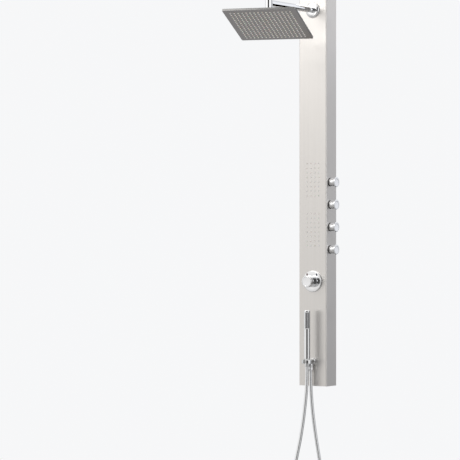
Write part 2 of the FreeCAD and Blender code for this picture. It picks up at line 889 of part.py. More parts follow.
def mixer_escutcheon():
    bore = RING_NUT_RADIUS + slip
    edge = escutcheon_edge
    profile = [(0, bore), (0, escutcheon_radius), (escutcheon_depth - edge, escutcheon_radius),
               (escutcheon_depth - 0.3 * edge, escutcheon_radius - 0.3 * edge),
               (escutcheon_depth, escutcheon_radius - edge), (escutcheon_depth, bore)]
    disc = turned(profile, on_mixer_axis(FRONT), -Y)
    for centre in mark_places():
        disc = disc.cut(mark(centre, running))
    return disc


def mixer_spindle():
    start = on_mixer_axis(FRONT + mixer_spindle_inside)
    end = on_mixer_axis(FRONT - mixer_spindle_proud)
    flat_from = mixer_spindle_inside + mixing_proud + flat_margin
    shaft = flatted_spindle(mixer_spindle_radius, start, end, flat_from)
    hole_depth = knob_screw_bite + knob_screw_room
    return shaft.cut(rod(knob_screw_radius + running, end + Y * hole_depth, end))


def mixer_knob():
    """The temperature knob, with a pocket behind its cap for the screw that holds it."""
    base = FRONT - escutcheon_depth - knob_gap
    tip = FRONT - mixer_knob_reach
    spindle_end = FRONT - mixer_spindle_proud
    length = base - tip
    edge = mixer_knob_edge
    profile = [(0, 0), (0, mixer_knob_radius - edge / 2), (edge / 2, mixer_knob_radius),
               (length - edge, mixer_knob_radius), (length, mixer_knob_radius - edge), (length, 0)]
    knob = turned(profile, on_mixer_axis(base), -Y)
    hollow = rod(mixer_hollow_radius, on_mixer_axis(base), on_mixer_axis(base - mixer_hollow_depth))
    bore = flatted_spindle(mixer_spindle_radius + slip, on_mixer_axis(base), on_mixer_axis(spindle_end),
                           mixer_hollow_depth)
    web_front = on_mixer_axis(spindle_end - knob_web)
    screw_hole = rod(knob_screw_radius + slip, web_front, on_mixer_axis(spindle_end))
    pocket = rod(screw_pocket_radius, on_mixer_axis(tip), web_front)
    cap_seat = rod(mixer_cap_radius + slip, on_mixer_axis(tip), on_mixer_axis(tip + mixer_cap_depth))
    return knob.cut(hollow).cut(bore).cut(screw_hole).cut(pocket).cut(cap_seat)


def mixer_knob_cap():
    """The disc pressed in the knob's end over its screw."""
    back = FRONT - mixer_knob_reach + mixer_cap_depth
    crown = mixer_cap_depth + mixer_cap_proud
    profile = [(0, 0), (0, mixer_cap_radius), (mixer_cap_depth, mixer_cap_radius),
               (crown, mixer_cap_radius - mixer_cap_proud), (crown, 0)]
    return turned(profile, on_mixer_axis(back), -Y)


def mixer_knob_screw():
    seat = FRONT - mixer_spindle_proud - knob_web
    crown = on_mixer_axis(seat - knob_screw_head_height)
    head = rod(knob_screw_head, crown, on_mixer_axis(seat))
    head = head.cut(hexagon(knob_screw_key, crown, crown + Y * knob_screw_head_height / 2))
    shank = rod(knob_screw_radius, on_mixer_axis(seat), on_mixer_axis(seat + knob_web + knob_screw_bite))
    return joined(head, shank)


# ---- water ways between the fittings ----
def feed_pipe():
    """From the mixer's outlet up to the foot of the manifold."""
    mouth = mixer_ports()[0][0]
    foot = valve_heights()[-1] - manifold_overrun
    points = [mouth - Z * socket_depth, mouth + Z * pipe_straight,
              point(MANIFOLD_X, VALVE_Y, foot - pipe_straight),
              point(MANIFOLD_X, VALVE_Y, foot + socket_depth)]
    return water_pipe(points)


def valve_outlet(number):
    """Where the pipe of one stop valve starts, inside its socket."""
    return point(outlet_boss_end + socket_depth, VALVE_Y, valve_heights()[number])


def riser_pipe():
    """From the top valve up to the threaded end of the arm."""
    start = valve_outlet(0)
    arm_end = point(0, SPIGOT_Y, ARM_Z)
    points = [start, point(0, VALVE_Y, start.z), point(0, REAR_LANE, start.z + pipe_lane_change),
              point(0, REAR_LANE, ARM_Z), arm_end - Y * socket_depth]
    return water_pipe(points)


def jet_pipe(number, centre_height):
    start = valve_outlet(number)
    mouth = jet_inlet(centre_height)
    points = [start, point(mouth.x, VALVE_Y, start.z), mouth + Z * socket_depth]
    return water_pipe(points)


def hand_shower_pipe():
    """From the lowest valve down behind the mixer to the hose outlet."""
    start = valve_outlet(valve_count - 1)
    outlet_z = above(outlet_height)
    spigot_end = point(0, SPIGOT_Y, outlet_z)
    points = [start, point(0, VALVE_Y, start.z), point(0, LOW_LANE, start.z - pipe_lane_change),
              point(0, LOW_LANE, outlet_z), spigot_end - Y * socket_depth]
    return water_pipe(points)


def supply_pipe(side):
    """From one lower port of the mixer down and back to the union at the wall."""
    mouth = mixer_ports()[1][0]
    x = side * mixer_port_x
    lane = side * supply_x
    first_bend = mouth.z - pipe_straight
    end = supply_seat(side)
    points = [point(x, mouth.y, mouth.z + socket_depth), point(x, mouth.y, first_bend),
              point(lane, VALVE_Y, first_bend - pipe_lane_change), point(lane, VALVE_Y, end.z), end]
    collar = sleeve(pipe_collar_radius, pipe_bore, end, end + Y * pipe_collar_length)
    return joined(water_pipe(points), collar)


def supply_seat(side):
    """Where a supply pipe ends, on the inner wall of its union."""
    y = -union_setback - union_length + union_wall
    return point(side * supply_x, y, above(supply_height))


def supply_union(side):
    """The nut that screws onto the wall's threaded supply."""
    seat = supply_seat(side)
    back = seat - Y * union_wall
    mouth = back + Y * union_length
    ledge = seat + Y * pipe_collar_length
    nut = hexagon(union_flats, back, mouth).cut(rod(union_bore, ledge, mouth))
    nut = nut.cut(rod(pipe_collar_radius + slip, seat, ledge))
    return nut.cut(rod(pipe_radius + slip, back, seat))


def check_valve(side):
    """The non-return insert in the wall end of a supply pipe."""
    end = supply_seat(side)
    return sleeve(pipe_bore - slip, check_valve_bore, end - Y * check_valve_length, end)


# ---- hose outlet with its cradle ----
OUTLET_Z = above(outlet_height)
HOSE_NUT_RADIUS = thread_radius + slip + hose_nut_wall
PORT_Y = FRONT - rosette_depth - hose_nut_to_rosette - HOSE_NUT_RADIUS
CRADLE_Y = FRONT - cradle_reach
CONE_TOP_RADIUS = handset_radius - cone_step
PORT_END = OUTLET_Z - outlet_radius - port_length
HOSE_NUT_TOP = OUTLET_Z - outlet_radius - hose_nut_gap


def cone_radius(height, extra=0.0):
    """The radius of the hose's cone nut at a height above the outlet's axis."""
    slope = (CONE_TOP_RADIUS - cone_bottom_radius) / (cone_top - cone_bottom)
    return cone_bottom_radius + slope * (height - cone_bottom) + extra


def cradle_cut(height):
    """What the slot in the cradle's front takes away."""
    half = cradle_slot / 2
    front = CRADLE_Y - cradle_radius - OVERSHOOT
    return block(-half, half, front, CRADLE_Y, OUTLET_Z - height, OUTLET_Z + height)


def hose_outlet():
    """The spout for the hose, one casting with the ring that holds the hand shower."""
    face = point(0, FRONT, OUTLET_Z)
    spigot_end = point(0, SPIGOT_Y, OUTLET_Z)
    rosette = turned([(0, 0), (0, rosette_radius), (rosette_depth - rosette_edge, rosette_radius),
                      (rosette_depth, rosette_radius - rosette_edge), (rosette_depth, 0)], face, -Y)
    nose = point(0, CRADLE_Y + liner_radius, OUTLET_Z)
    barrel = rod(outlet_radius, nose, face)
    half = cradle_height / 2
    ring_foot = point(0, CRADLE_Y, OUTLET_Z - half)
    ring_crown = point(0, CRADLE_Y, OUTLET_Z + half)
    ring = rod(cradle_radius, ring_foot, ring_crown)
    ring = ring.makeFillet(cradle_edge, [edge for edge in ring.Edges if edge.BoundBox.ZLength < TINY])
    port = rod(thread_radius, point(0, PORT_Y, OUTLET_Z), point(0, PORT_Y, PORT_END))
    solids = joined(rosette, barrel, ring, port, rod(thread_radius, face, spigot_end))
    water = [rod(thread_bore, point(0, PORT_Y - thread_bore / 2, OUTLET_Z), spigot_end),
             rod(thread_bore, point(0, PORT_Y, OUTLET_Z), point(0, PORT_Y, PORT_END)),
             rod(liner_radius + slip, ring_foot - Z * outlet_radius, ring_crown),
             rod(liner_lip_radius + slip, ring_crown, ring_crown + Z * outlet_radius),
             cradle_cut(half + OVERSHOOT)]
    return solids.cut(Part.makeCompound(water))


def cradle_liner():
    """The nylon sleeve of the cradle: conical inside, to seat the hose's cone nut."""
    half = cradle_height / 2
    foot = point(0, CRADLE_Y, OUTLET_Z - half)
    crown = point(0, CRADLE_Y, OUTLET_Z + half)
    lip_top = crown + Z * liner_lip
    sleeve_body = joined(rod(liner_radius, foot, crown), rod(liner_lip_radius, crown, lip_top))
    cone = taper(cone_radius(-half, cone_clearance), cone_radius(half + liner_lip, cone_clearance),
                 foot, lip_top)
    return sleeve_body.cut(cone).cut(cradle_cut(half + liner_lip + OVERSHOOT))


# ---- hand shower, drawn with its spray to the front and then turned on its axis ----
CONE_TOP_Z = OUTLET_Z + cone_top
CONE_BOTTOM_Z = OUTLET_Z + cone_bottom
HANDSET_TOP = CONE_TOP_Z + handset_length
SPRAY_TOP = HANDSET_TOP - spray_top_margin
SPRAY_FOOT = SPRAY_TOP - spray_length
SPRAY_FLAT = handset_radius - spray_cut
SPRAY_WIDTH = 2 * (math.sqrt(handset_radius ** 2 - SPRAY_FLAT ** 2) - spray_side_wall)
SPRAY_BACK = SPRAY_FLAT - spray_plate_thickness


def on_handset_axis(z):
    return point(0, CRADLE_Y, z)


def turned_handset(shape):
    placed = shape.copy()
    placed.rotate(point(0, CRADLE_Y, 0), Z, handset_turn)
    return placed


def spray_pocket(width, depth_from, depth_to, foot, top):
    """A block on the spray side, given by its distances from the handset's axis."""
    return block(-width / 2, width / 2, CRADLE_Y - depth_to, CRADLE_Y - depth_from, foot, top)


def handset_body():
    foot = on_handset_axis(CONE_TOP_Z)
    crown = on_handset_axis(HANDSET_TOP)
    body = rod(handset_radius, foot, crown)
    top_edges = [edge for edge in body.Edges if edge.BoundBox.ZMin > HANDSET_TOP - TINY]
    body = body.makeFillet(handset_top_radius, top_edges)
    neck = rod(cone_thread_radius, foot - Z * cone_thread_length, foot)
    body = joined(body, neck)
    ledge = spray_ledge
    flat = spray_pocket(2 * handset_radius, SPRAY_FLAT, handset_radius, SPRAY_FOOT, SPRAY_TOP)
    plate_seat = spray_pocket(SPRAY_WIDTH, SPRAY_BACK, SPRAY_FLAT, SPRAY_FOOT, SPRAY_TOP)
    chamber = spray_pocket(SPRAY_WIDTH - 2 * ledge, 0, SPRAY_FLAT, SPRAY_FOOT + ledge, SPRAY_TOP - ledge)
    bore = rod(handset_bore, foot - Z * cone_thread_length, on_handset_axis(SPRAY_TOP - handset_bore))
    return turned_handset(body.cut(flat).cut(plate_seat).cut(chamber).cut(bore))


def strip_sides():
    return (-strip_spacing / 2, strip_spacing / 2)


def spray_plate():
    """The flat chromed cover of the spray, with a slot for each row of nozzles."""
    plate = spray_pocket(SPRAY_WIDTH - 2 * slip, SPRAY_BACK, SPRAY_FLAT, SPRAY_FOOT + slip, SPRAY_TOP - slip)
    slot_foot = SPRAY_FOOT + strip_end
    slot_top = SPRAY_TOP - strip_end
    for x in strip_sides():
        slot = spray_pocket(strip_width + 2 * soft_gap, SPRAY_BACK, SPRAY_FLAT, slot_foot, slot_top)
        plate = plate.cut(slot.translated(point(x, 0, 0)))
    return turned_handset(plate)


def spray_nozzles():
    """The silicone insert: a backing in the chamber, two strips in the slots and their nozzles."""
    width = SPRAY_WIDTH - 2 * spray_ledge - 2 * slip
    foot = SPRAY_FOOT + strip_end + soft_gap
    top = SPRAY_TOP - strip_end - soft_gap
    pieces = [spray_pocket(width, SPRAY_BACK - mat_thickness, SPRAY_BACK, foot, top)]
    bores = []
    face = CRADLE_Y - SPRAY_FLAT - strip_proud
    step = (top - foot - 2 * strip_end) / (spray_nozzles_per_strip - 1)
    for x in strip_sides():
        strip = spray_pocket(strip_width, SPRAY_BACK, SPRAY_FLAT + strip_proud, foot, top)
        pieces.append(strip.translated(point(x, 0, 0)))
        for i in range(spray_nozzles_per_strip):
            root = point(x, face, foot + strip_end + i * step)
            tip = root - Y * spray_nozzle_proud
            pieces.append(taper(spray_nozzle_radius / nipple_taper, spray_nozzle_radius, root, tip))
            bores.append(rod(spray_nozzle_bore, root + Y * SPRAY_FLAT / 2, tip))
    return turned_handset(joined(*pieces).cut(Part.makeCompound(bores)))


def cone_nut():
    """The conical end of the hose that screws onto the hand shower and seats in the cradle."""
    foot = on_handset_axis(CONE_BOTTOM_Z)
    crown = on_handset_axis(CONE_TOP_Z)
    nut = taper(cone_bottom_radius, CONE_TOP_RADIUS, foot, crown)
    thread_foot = on_handset_axis(CONE_TOP_Z - cone_thread_length)
    nut = nut.cut(rod(cone_thread_radius + slip, thread_foot, crown))
    return nut.cut(rod(hose_bore, foot, thread_foot))


def hose_nut():
    """The nut at the hose's other end, on the port that points down from the outlet."""
    top = point(0, PORT_Y, HOSE_NUT_TOP)
    foot = top - Z * hose_nut_length
    profile = [(0, 0), (0, HOSE_NUT_RADIUS - hose_nut_edge), (hose_nut_edge, HOSE_NUT_RADIUS),
               (hose_nut_length - hose_nut_tail, HOSE_NUT_RADIUS),
               (hose_nut_length, hose_radius + 2 * hose_nut_edge), (hose_nut_length, 0)]
    nut = turned(profile, top, -Z)
    nut = nut.cut(rod(thread_radius + slip, point(0, PORT_Y, PORT_END), top))
    return nut.cut(rod(hose_bore, foot, top))


# ---- hose: points chosen by hand from the photograph, the lower loop at its real length ----
HOSE_START = point(0, PORT_Y, HOSE_NUT_TOP - hose_nut_length)
HOSE_END = point(0, CRADLE_Y, CONE_BOTTOM_Z)

# (x, y from the panel's front, height above the panel's lower edge)
hose_middle = [
    (5.0, -12.0, -95.0),
    (15.0, -3.0, -200.0),
    (29.0, 6.5, -305.0),
    (41.0, 15.0, -410.0),
    (46.0, 18.5, -500.0),
    (44.5, 17.0, -575.0),
    (26.0, -3.0, -617.0),
    (-5.0, -37.0, -635.0),
    (-37.0, -71.5, -620.0),
    (-56.5, -92.0, -577.0),
    (-58.0, -94.0, -500.0),
    (-51.0, -86.0, -405.0),
    (-36.0, -73.0, -303.0),
    (-19.5, -59.0, -200.0),
    (-8.0, -50.0, -95.0),
]


def hose_points():
    """The route from the outlet to the hand shower, with each end hanging straight from its nut."""
    below_port = point(0, PORT_Y, above(hose_start_straight))
    below_cradle = point(0, CRADLE_Y, above(hose_end_straight))
    middle = [point(x, FRONT + y, above(height)) for x, y, height in hose_middle]
    return [HOSE_START, below_port] + middle + [below_cradle, HOSE_END]


def hose():
    points = hose_points()
    tube = swept(points, hose_radius).cut(swept(points, hose_bore))
    length = route(points).Length
    section = math.pi * (hose_radius ** 2 - hose_bore ** 2)
    ratio = tube.Volume / section / length
    print("hose length %.0f mm, volume over section times length %.4f" % (length, ratio))
    print("hose bend radii", [round(radius) for radius in bend_radii(points)])
    return tube


os.makedirs("parts", exist_ok=True)

save("casing", casing())
save("top_cap", end_cap(TOP, -1))
save("bottom_cap", end_cap(BOTTOM, 1))
bracket_heights = (BOTTOM + wall_hole_inset, TOP - wall_hole_inset)
save("wall_brackets", *[wall_bracket(z) for z in bracket_heights])
save("hangers", *[hanger(z) for z in bracket_heights])

save("arm_tube", arm_tube())
save("arm_flange", arm_flange())
save("arm_gasket", arm_gasket())
save("arm_stem", arm_stem())
save("lock_nuts", lock_nut(0, ARM_Z), lock_nut(0, OUTLET_Z))
save("ball_stud", hung(ball_stud(), 0))
for name, maker in (("head_boss", head_boss), ("ball_seat", ball_seat), ("swivel_nut", swivel_nut),
                    ("head_tray", head_tray), ("head_face", head_face), ("head_nozzle_mat", head_nozzle_mat)):
    save(name, hung(maker(), head_tilt))
save("head_screws", *[hung(head_screw(x, y), head_tilt) for x, y in head_screw_places()])

for label, height in (("upper", upper_jets_height), ("lower", lower_jets_height)):
    save("jet_box_" + label, jet_box(height))
    save("jet_mat_" + label, jet_mat(height))

save("manifold", manifold())
save("valve_cartridges", *[valve_cartridge(z) for z in valve_heights()])
save("valve_nuts", *[valve_nut(z) for z in valve_heights()])
save("knob_seals", *[knob_seal(z) for z in valve_heights()])
for number, z in enumerate(valve_heights(), start=1):
    save("valve_spindle_%d" % number, valve_spindle(z))
    save("valve_knob_%d" % number, valve_knob(z))

save("mixer_body", mixer_body())
save("mixing_cartridge", mixing_cartridge())
save("cartridge_nut", cartridge_nut())
save("mixer_escutcheon", mixer_escutcheon())
save("temperature_marks", *[mark(centre) for centre in mark_places()])
save("mixer_spindle", mixer_spindle())
save("mixer_knob", mixer_knob())
save("mixer_knob_cap", mixer_knob_cap())
save("mixer_knob_screw", mixer_knob_screw())

save("feed_pipe", feed_pipe())
save("riser_pipe", riser_pipe())
save("jet_pipe_upper", jet_pipe(1, upper_jets_height))
save("jet_pipe_lower", jet_pipe(2, lower_jets_height))
save("hand_shower_pipe", hand_shower_pipe())
save("hot_supply_pipe", supply_pipe(-1))
save("cold_supply_pipe", supply_pipe(1))
save("supply_unions", supply_union(-1), supply_union(1))
save("check_valves", check_valve(-1), check_valve(1))

save("hose_outlet", hose_outlet())
save("cradle_liner", cradle_liner())
save("handset_body", handset_body())
save("spray_plate", spray_plate())
save("spray_nozzles", spray_nozzles())
save("cone_nut", cone_nut())
save("hose_nut", hose_nut())
save("hose", hose())
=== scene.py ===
"""A wall-hung shower column: brushed steel casing, rain head, body jets, stop valves, mixer and hand shower.

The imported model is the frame. The casing, pipes and fittings keep their shapes and get finishes of their own.
The knobs, cover plates, nuts, screws, head pan, nozzles, marks and hose are drawn finer here.
Lengths are millimetres on the part, and metres in the finishes, the hose's line and the room.
"""
import math

import bmesh
import bpy
from mathutils import Matrix, Vector


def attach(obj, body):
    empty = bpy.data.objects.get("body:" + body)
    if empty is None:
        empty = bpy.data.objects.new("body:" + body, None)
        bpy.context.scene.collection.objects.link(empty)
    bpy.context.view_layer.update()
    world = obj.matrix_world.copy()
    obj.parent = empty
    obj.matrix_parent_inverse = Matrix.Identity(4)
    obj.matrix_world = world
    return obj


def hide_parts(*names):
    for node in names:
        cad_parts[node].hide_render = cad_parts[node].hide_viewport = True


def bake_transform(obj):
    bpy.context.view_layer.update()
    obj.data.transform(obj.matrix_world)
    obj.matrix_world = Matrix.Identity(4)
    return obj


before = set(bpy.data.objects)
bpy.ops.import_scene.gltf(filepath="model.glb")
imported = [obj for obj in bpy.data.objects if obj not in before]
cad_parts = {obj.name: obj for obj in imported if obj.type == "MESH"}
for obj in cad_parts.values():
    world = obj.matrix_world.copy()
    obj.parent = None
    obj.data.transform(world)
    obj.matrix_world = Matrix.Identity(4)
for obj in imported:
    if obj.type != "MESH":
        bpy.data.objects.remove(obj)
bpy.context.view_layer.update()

# ---- places on the part, as in its source ----
MM = 0.001
PANEL_FRONT = -75.0
PANEL_SIDE = 67.5
VALVE_Y = -46.0
VALVE_HEIGHTS = (23.5, -69.2, -161.9, -254.6)
ARM_Z = 736.0
ARM_FACE = -76.5
HEAD_PIVOT = (0.0, -406.0, 686.0)
HEAD_YAW = 17.5
HEAD_TILT = 18.0
HEAD_SIDE = 300.0
HEAD_FACE_DROP = 41.0
HEAD_THICKNESS = 9.0
HEAD_SHEET = 1.2
MIXER_Z = -387.0
HOSE_NUT_TOP = -731.0
PORT_Y = -91.5
CRADLE_Y = -119.0
CONE_FOOT = -738.5


# ---- shader maths ----
class Signal:
    """A value or a colour on its way through a node tree. Arithmetic on it adds Math nodes."""

    def __init__(self, tree, socket):
        self.tree = tree
        self.socket = socket

    def maths(self, operation, *values):
        return self.tree.node("ShaderNodeMath", {"operation": operation}, dict(enumerate(values)))

    def __add__(self, other):
        return self.maths("ADD", self, other)

    def __radd__(self, other):
        return self.maths("ADD", other, self)

    def __sub__(self, other):
        return self.maths("SUBTRACT", self, other)

    def __rsub__(self, other):
        return self.maths("SUBTRACT", other, self)

    def __mul__(self, other):
        return self.maths("MULTIPLY", self, other)

    def __rmul__(self, other):
        return self.maths("MULTIPLY", other, self)

    def __truediv__(self, other):
        return self.maths("DIVIDE", self, other)

    def __rtruediv__(self, other):
        return self.maths("DIVIDE", other, self)

    def __pow__(self, other):
        return self.maths("POWER", self, other)

    def __rpow__(self, other):
        return self.maths("POWER", other, self)

    def __neg__(self):
        return self.maths("MULTIPLY", self, -1.0)

    def __abs__(self):
        return self.maths("ABSOLUTE", self)

    def at_most(self, other):
        return self.maths("MINIMUM", self, other)

    def at_least(self, other):
        return self.maths("MAXIMUM", self, other)

    def fraction(self):
        return self.maths("FRACT", self)

    def step(self, low, high):
        """0 below low, 1 above high, and a smooth rise between them."""
        settings = {"interpolation_type": "SMOOTHSTEP"}
        return self.tree.node("ShaderNodeMapRange", settings,
                              {"Value": self, "From Min": low, "From Max": high})

    def part(self, axis):
        """One number of a vector: 0, 1 or 2."""
        return self.tree.node("ShaderNodeSeparateXYZ", inputs={0: self}, output=axis)


class Tree:
    """A node tree of a material or the world, with one method that makes any node."""

    def __init__(self, owner):
        owner.use_nodes = True
        self.owner = owner
        self.graph = owner.node_tree
        self.graph.nodes.clear()

    def node(self, kind, settings=None, inputs=None, output=0):
        """Any node: its settings are set first, then the values or links of its sockets."""
        made = self.graph.nodes.new(kind)
        for name, value in (settings or {}).items():
            setattr(made, name, value)
        for name, value in (inputs or {}).items():
            self.feed(made.inputs[name], value)
        return Signal(self, made.outputs[output]) if len(made.outputs) else made

    def feed(self, socket, value):
        """Links a signal to a socket, or sets the socket to a value."""
        if isinstance(value, Signal):
            self.graph.links.new(value.socket, socket)
        elif socket.type == "RGBA" and len(value) == 3:
            socket.default_value = (*value, 1.0)
        else:
            socket.default_value = value

    def mixed(self, amount, first, second):
        """The first colour where amount is 0, the second where it is 1."""
        return self.node("ShaderNodeMix", {"data_type": "RGBA"}, {0: amount, 6: first, 7: second}, output=2)

    def shaded(self, colour, amount):
        """A colour times a number."""
        grey = self.node("ShaderNodeCombineXYZ", inputs={0: amount, 1: amount, 2: amount})
        return self.node("ShaderNodeVectorMath", {"operation": "MULTIPLY"}, {0: colour, 1: grey})

    def place(self, size=(1.0, 1.0, 1.0), centre=(0.0, 0.0, 0.0), turn=(0.0, 0.0, 0.0)):
        """The place on the object from a centre, in units of size metres along turned axes."""
        raw = self.node("ShaderNodeTexCoord", output="Object")
        return self.node("ShaderNodeMapping", {"vector_type": "TEXTURE"},
                         {"Vector": raw, "Location": centre, "Rotation": turn, "Scale": size})

    def noise(self, size, detail=2.0, roughness=0.5, **spot):
        """Soft noise about 0.5 with features of the size given, in metres."""
        if not hasattr(size, "__len__"):
            size = (size, size, size)
        return self.node("ShaderNodeTexNoise", inputs={"Vector": self.place(size, **spot), "Scale": 1.0,
                                                       "Detail": detail, "Roughness": roughness})

    def cells(self, size):
        """A colour for each crystal of about the size given, in metres."""
        return self.node("ShaderNodeTexVoronoi", inputs={"Vector": self.place((size, size, size)),
                                                         "Scale": 1.0}, output="Color")


def finish(name, colour, roughness, metallic=0.0, relief=None, tree=None, **constants):
    """A Principled material. Relief is its height in metres."""
    surface = {"Base Color": colour, "Roughness": roughness, "Metallic": metallic}
    if relief is not None:
        surface["Normal"] = tree.node("ShaderNodeBump", inputs={"Strength": 1.0, "Distance": 1.0,
                                                                "Height": relief})
    for key, value in constants.items():
        surface[key.replace("_", " ").title().replace("Ior", "IOR")] = value
    shader = tree.node("ShaderNodeBsdfPrincipled", inputs=surface)
    tree.node("ShaderNodeOutputMaterial", inputs={"Surface": shader})
    return tree.owner


def new_tree(name):
    return Tree(bpy.data.materials.new(name))


# ---- finishes ----
CORNER_X = PANEL_SIDE * MM
CORNER_Y = PANEL_FRONT * MM
HALF_HEIGHT = 0.82
FINE_SCRATCH = 0.00035
COARSE_SCRATCH = 0.0016
GRINDING_BAND = 0.012
GRAIN_LENGTH = 0.06
SATIN = 0.34
COOLER = (0.985, 1.0, 1.012)
# The colour, and the bands in metres, of a painted highlight on the casing's corners and its top and bottom
# ends.
PAINTED_HIGHLIGHT_STEEL = (0.96, 0.945, 0.93)
CORNER_HIGHLIGHT_BAND = (0.0012, 0.0034)
END_HIGHLIGHT_BAND = (-0.0022, -0.0004)


def brushed_steel(name, colour, along=2):
    """Satin steel ground along one axis: long scratches, faint bands, smudges, and a painted highlight, lighter
    and less metallic, on its corners and ends.
    """
    tree = new_tree(name)

    def scratches(width, length, **spot):
        size = [width, width, width]
        size[along] = length
        return tree.noise(tuple(size), detail=3.0, roughness=0.6, **spot)

    fine = scratches(FINE_SCRATCH, GRAIN_LENGTH)
    coarse = scratches(COARSE_SCRATCH, GRAIN_LENGTH * 3, centre=(0.31, 0.17, 0.0))
    bands = scratches(GRINDING_BAND, GRAIN_LENGTH * 12, centre=(0.0, 0.4, 0.2))
    smudges = tree.noise(0.11, detail=4.0, roughness=0.55, centre=(0.5, 0.2, 0.1)).step(0.52, 0.8)
    tone = 1.0 + (fine - 0.5) * 0.10 + (coarse - 0.5) * 0.08 + (bands - 0.5) * 0.06
    warmth = tree.noise(0.5, detail=1.0, centre=(0.1, 0.9, 0.4))
    tint = tree.mixed(warmth, colour, tuple(c * w for c, w in zip(colour, COOLER)))
    # Painted highlight: the corners and the top and bottom ends get a lighter colour and less metal, standing
    # in for a bright edge line.
    place = tree.place()
    from_side = CORNER_X - abs(place.part(0))
    from_front = place.part(1) - CORNER_Y
    corner = 1.0 - from_side.at_least(from_front).step(*CORNER_HIGHLIGHT_BAND)
    end = (abs(place.part(2)) - HALF_HEIGHT).step(*END_HIGHLIGHT_BAND)
    painted_highlight = corner.at_least(end * 0.8) * (0.8 + (coarse - 0.5) * 0.8)
    with_edge_highlight = tree.mixed(painted_highlight, tree.shaded(tint, tone), PAINTED_HIGHLIGHT_STEEL)
    roughness = SATIN + (fine - 0.5) * 0.16 + (coarse - 0.5) * 0.08 + smudges * 0.05
    relief = (fine - 0.5) * 4e-6 + (coarse - 0.5) * 5e-6
    return finish(name, with_edge_highlight, roughness, 1.0 - painted_highlight * 0.55, relief, tree)


def chrome(name, colour=(0.86, 0.87, 0.885), rough=0.045, metallic=1.0):
    """Bright plate with a slight waviness, water film smudges and fine wiping marks."""
    tree = new_tree(name)
    film = tree.noise(0.035, detail=4.0, roughness=0.6).step(0.45, 0.8)
    wipes = tree.noise((0.0012, 0.02, 0.009), detail=2.0, turn=(0.3, 0.5, 0.8)).step(0.55, 0.75)
    roughness = rough + film * 0.05 + wipes * 0.03
    tone = 1.0 - film * 0.03
    relief = tree.noise(0.012, detail=1.0) * 5e-6
    return finish(name, tree.shaded(colour, tone), roughness, metallic, relief, tree)


HEAD_GRAIN = (0.03, 0.0004, 0.0004)
RIM_BAND = (-0.0012, -0.0002)


def head_steel(name, colour, rough, rim_shade=0.0):
    """Ground steel of the rain head: a short grain along the head's own side, and painted shade that darkens
    its rim.
    """
    tree = new_tree(name)
    centre = tuple(MM * x for x in HEAD_PIVOT)
    turn = (math.radians(-HEAD_TILT), 0.0, math.radians(HEAD_YAW))
    grain = tree.noise(HEAD_GRAIN, detail=3.0, roughness=0.6, centre=centre, turn=turn)
    water_marks = tree.noise(0.02, detail=4.0, roughness=0.6).step(0.5, 0.78)
    on_head = tree.place(centre=centre, turn=turn)
    reach = abs(on_head.part(0)).at_least(abs(on_head.part(1))) - HEAD_SIDE * MM / 2
    # Painted shade: a band along the head's sides is made darker by rim_shade.
    rim = reach.step(*RIM_BAND) * rim_shade
    tone = (1.0 + (grain - 0.5) * 0.12 - water_marks * 0.05) * (1.0 - rim)
    roughness = rough + (grain - 0.5) * 0.12 + water_marks * 0.08
    return finish(name, tree.shaded(colour, tone), roughness, 1.0, (grain - 0.5) * 3e-6, tree)


ZINC = (0.56, 0.575, 0.59)
CLEAN_BRASS = (0.72, 0.52, 0.235)
TARNISHED_BRASS = (0.50, 0.335, 0.15)
CLEAN_COPPER = (0.78, 0.40, 0.25)
DARK_COPPER = (0.40, 0.19, 0.115)


def zinc(name):
    """Galvanised sheet: dull grey crystals that each catch the light a little differently."""
    tree = new_tree(name)
    shade = tree.cells(0.007).part(0)
    bloom = tree.noise(0.03, detail=3.0)
    tone = 0.88 + shade * 0.16 + (bloom - 0.5) * 0.12
    relief = tree.noise(0.0006, detail=2.0) * 8e-6
    return finish(name, tree.shaded(ZINC, tone), 0.42 + shade * 0.16, 0.9, relief, tree)


def machined_brass(name):
    """Raw brass with fine tool marks and a light brown tarnish in patches."""
    tree = new_tree(name)
    turned_marks = tree.noise((0.0005, 0.0005, 0.008), detail=2.0, roughness=0.6)
    tarnish = tree.noise(0.014, detail=5.0, roughness=0.6).step(0.46, 0.72)
    colour = tree.mixed(tarnish, CLEAN_BRASS, TARNISHED_BRASS)
    tone = 1.0 + (turned_marks - 0.5) * 0.14
    roughness = 0.27 + tarnish * 0.16 + (turned_marks - 0.5) * 0.1
    return finish(name, tree.shaded(colour, tone), roughness, 1.0, (turned_marks - 0.5) * 6e-6, tree)


def drawn_copper(name):
    """Copper tube: long draw lines, darker oxide patches and a pinkish ground."""
    tree = new_tree(name)
    draw_lines = tree.noise((0.0006, 0.0006, 0.05), detail=3.0, roughness=0.6)
    oxide = tree.noise(0.022, detail=5.0, roughness=0.62).step(0.44, 0.74)
    colour = tree.mixed(oxide, CLEAN_COPPER, DARK_COPPER)
    tone = 1.0 + (draw_lines - 0.5) * 0.12
    roughness = 0.26 + oxide * 0.2 + (draw_lines - 0.5) * 0.08
    return finish(name, tree.shaded(colour, tone), roughness, 1.0, (draw_lines - 0.5) * 5e-6, tree)


def silicone(name, colour, lime=0.0):
    """Soft moulded silicone with a dusty bloom and, on old nozzles, a trace of lime."""
    tree = new_tree(name)
    bloom = tree.noise(0.006, detail=4.0, roughness=0.6)
    deposit = tree.noise(0.0022, detail=3.0).step(0.58, 0.78) * lime
    pale = tuple(min(1.0, c * 1.25 + 0.12) for c in colour)
    tint = tree.mixed(deposit, tree.shaded(colour, 0.93 + bloom * 0.14), pale)
    relief = tree.noise(0.0007, detail=2.0) * 1.2e-5
    return finish(name, tint, 0.5 + (bloom - 0.5) * 0.2, 0.0, relief, tree,
                  subsurface_weight=0.08, subsurface_scale=0.002)


CLEAN_RUBBER = (0.022, 0.022, 0.023)
BLOOMED_RUBBER = (0.055, 0.054, 0.052)


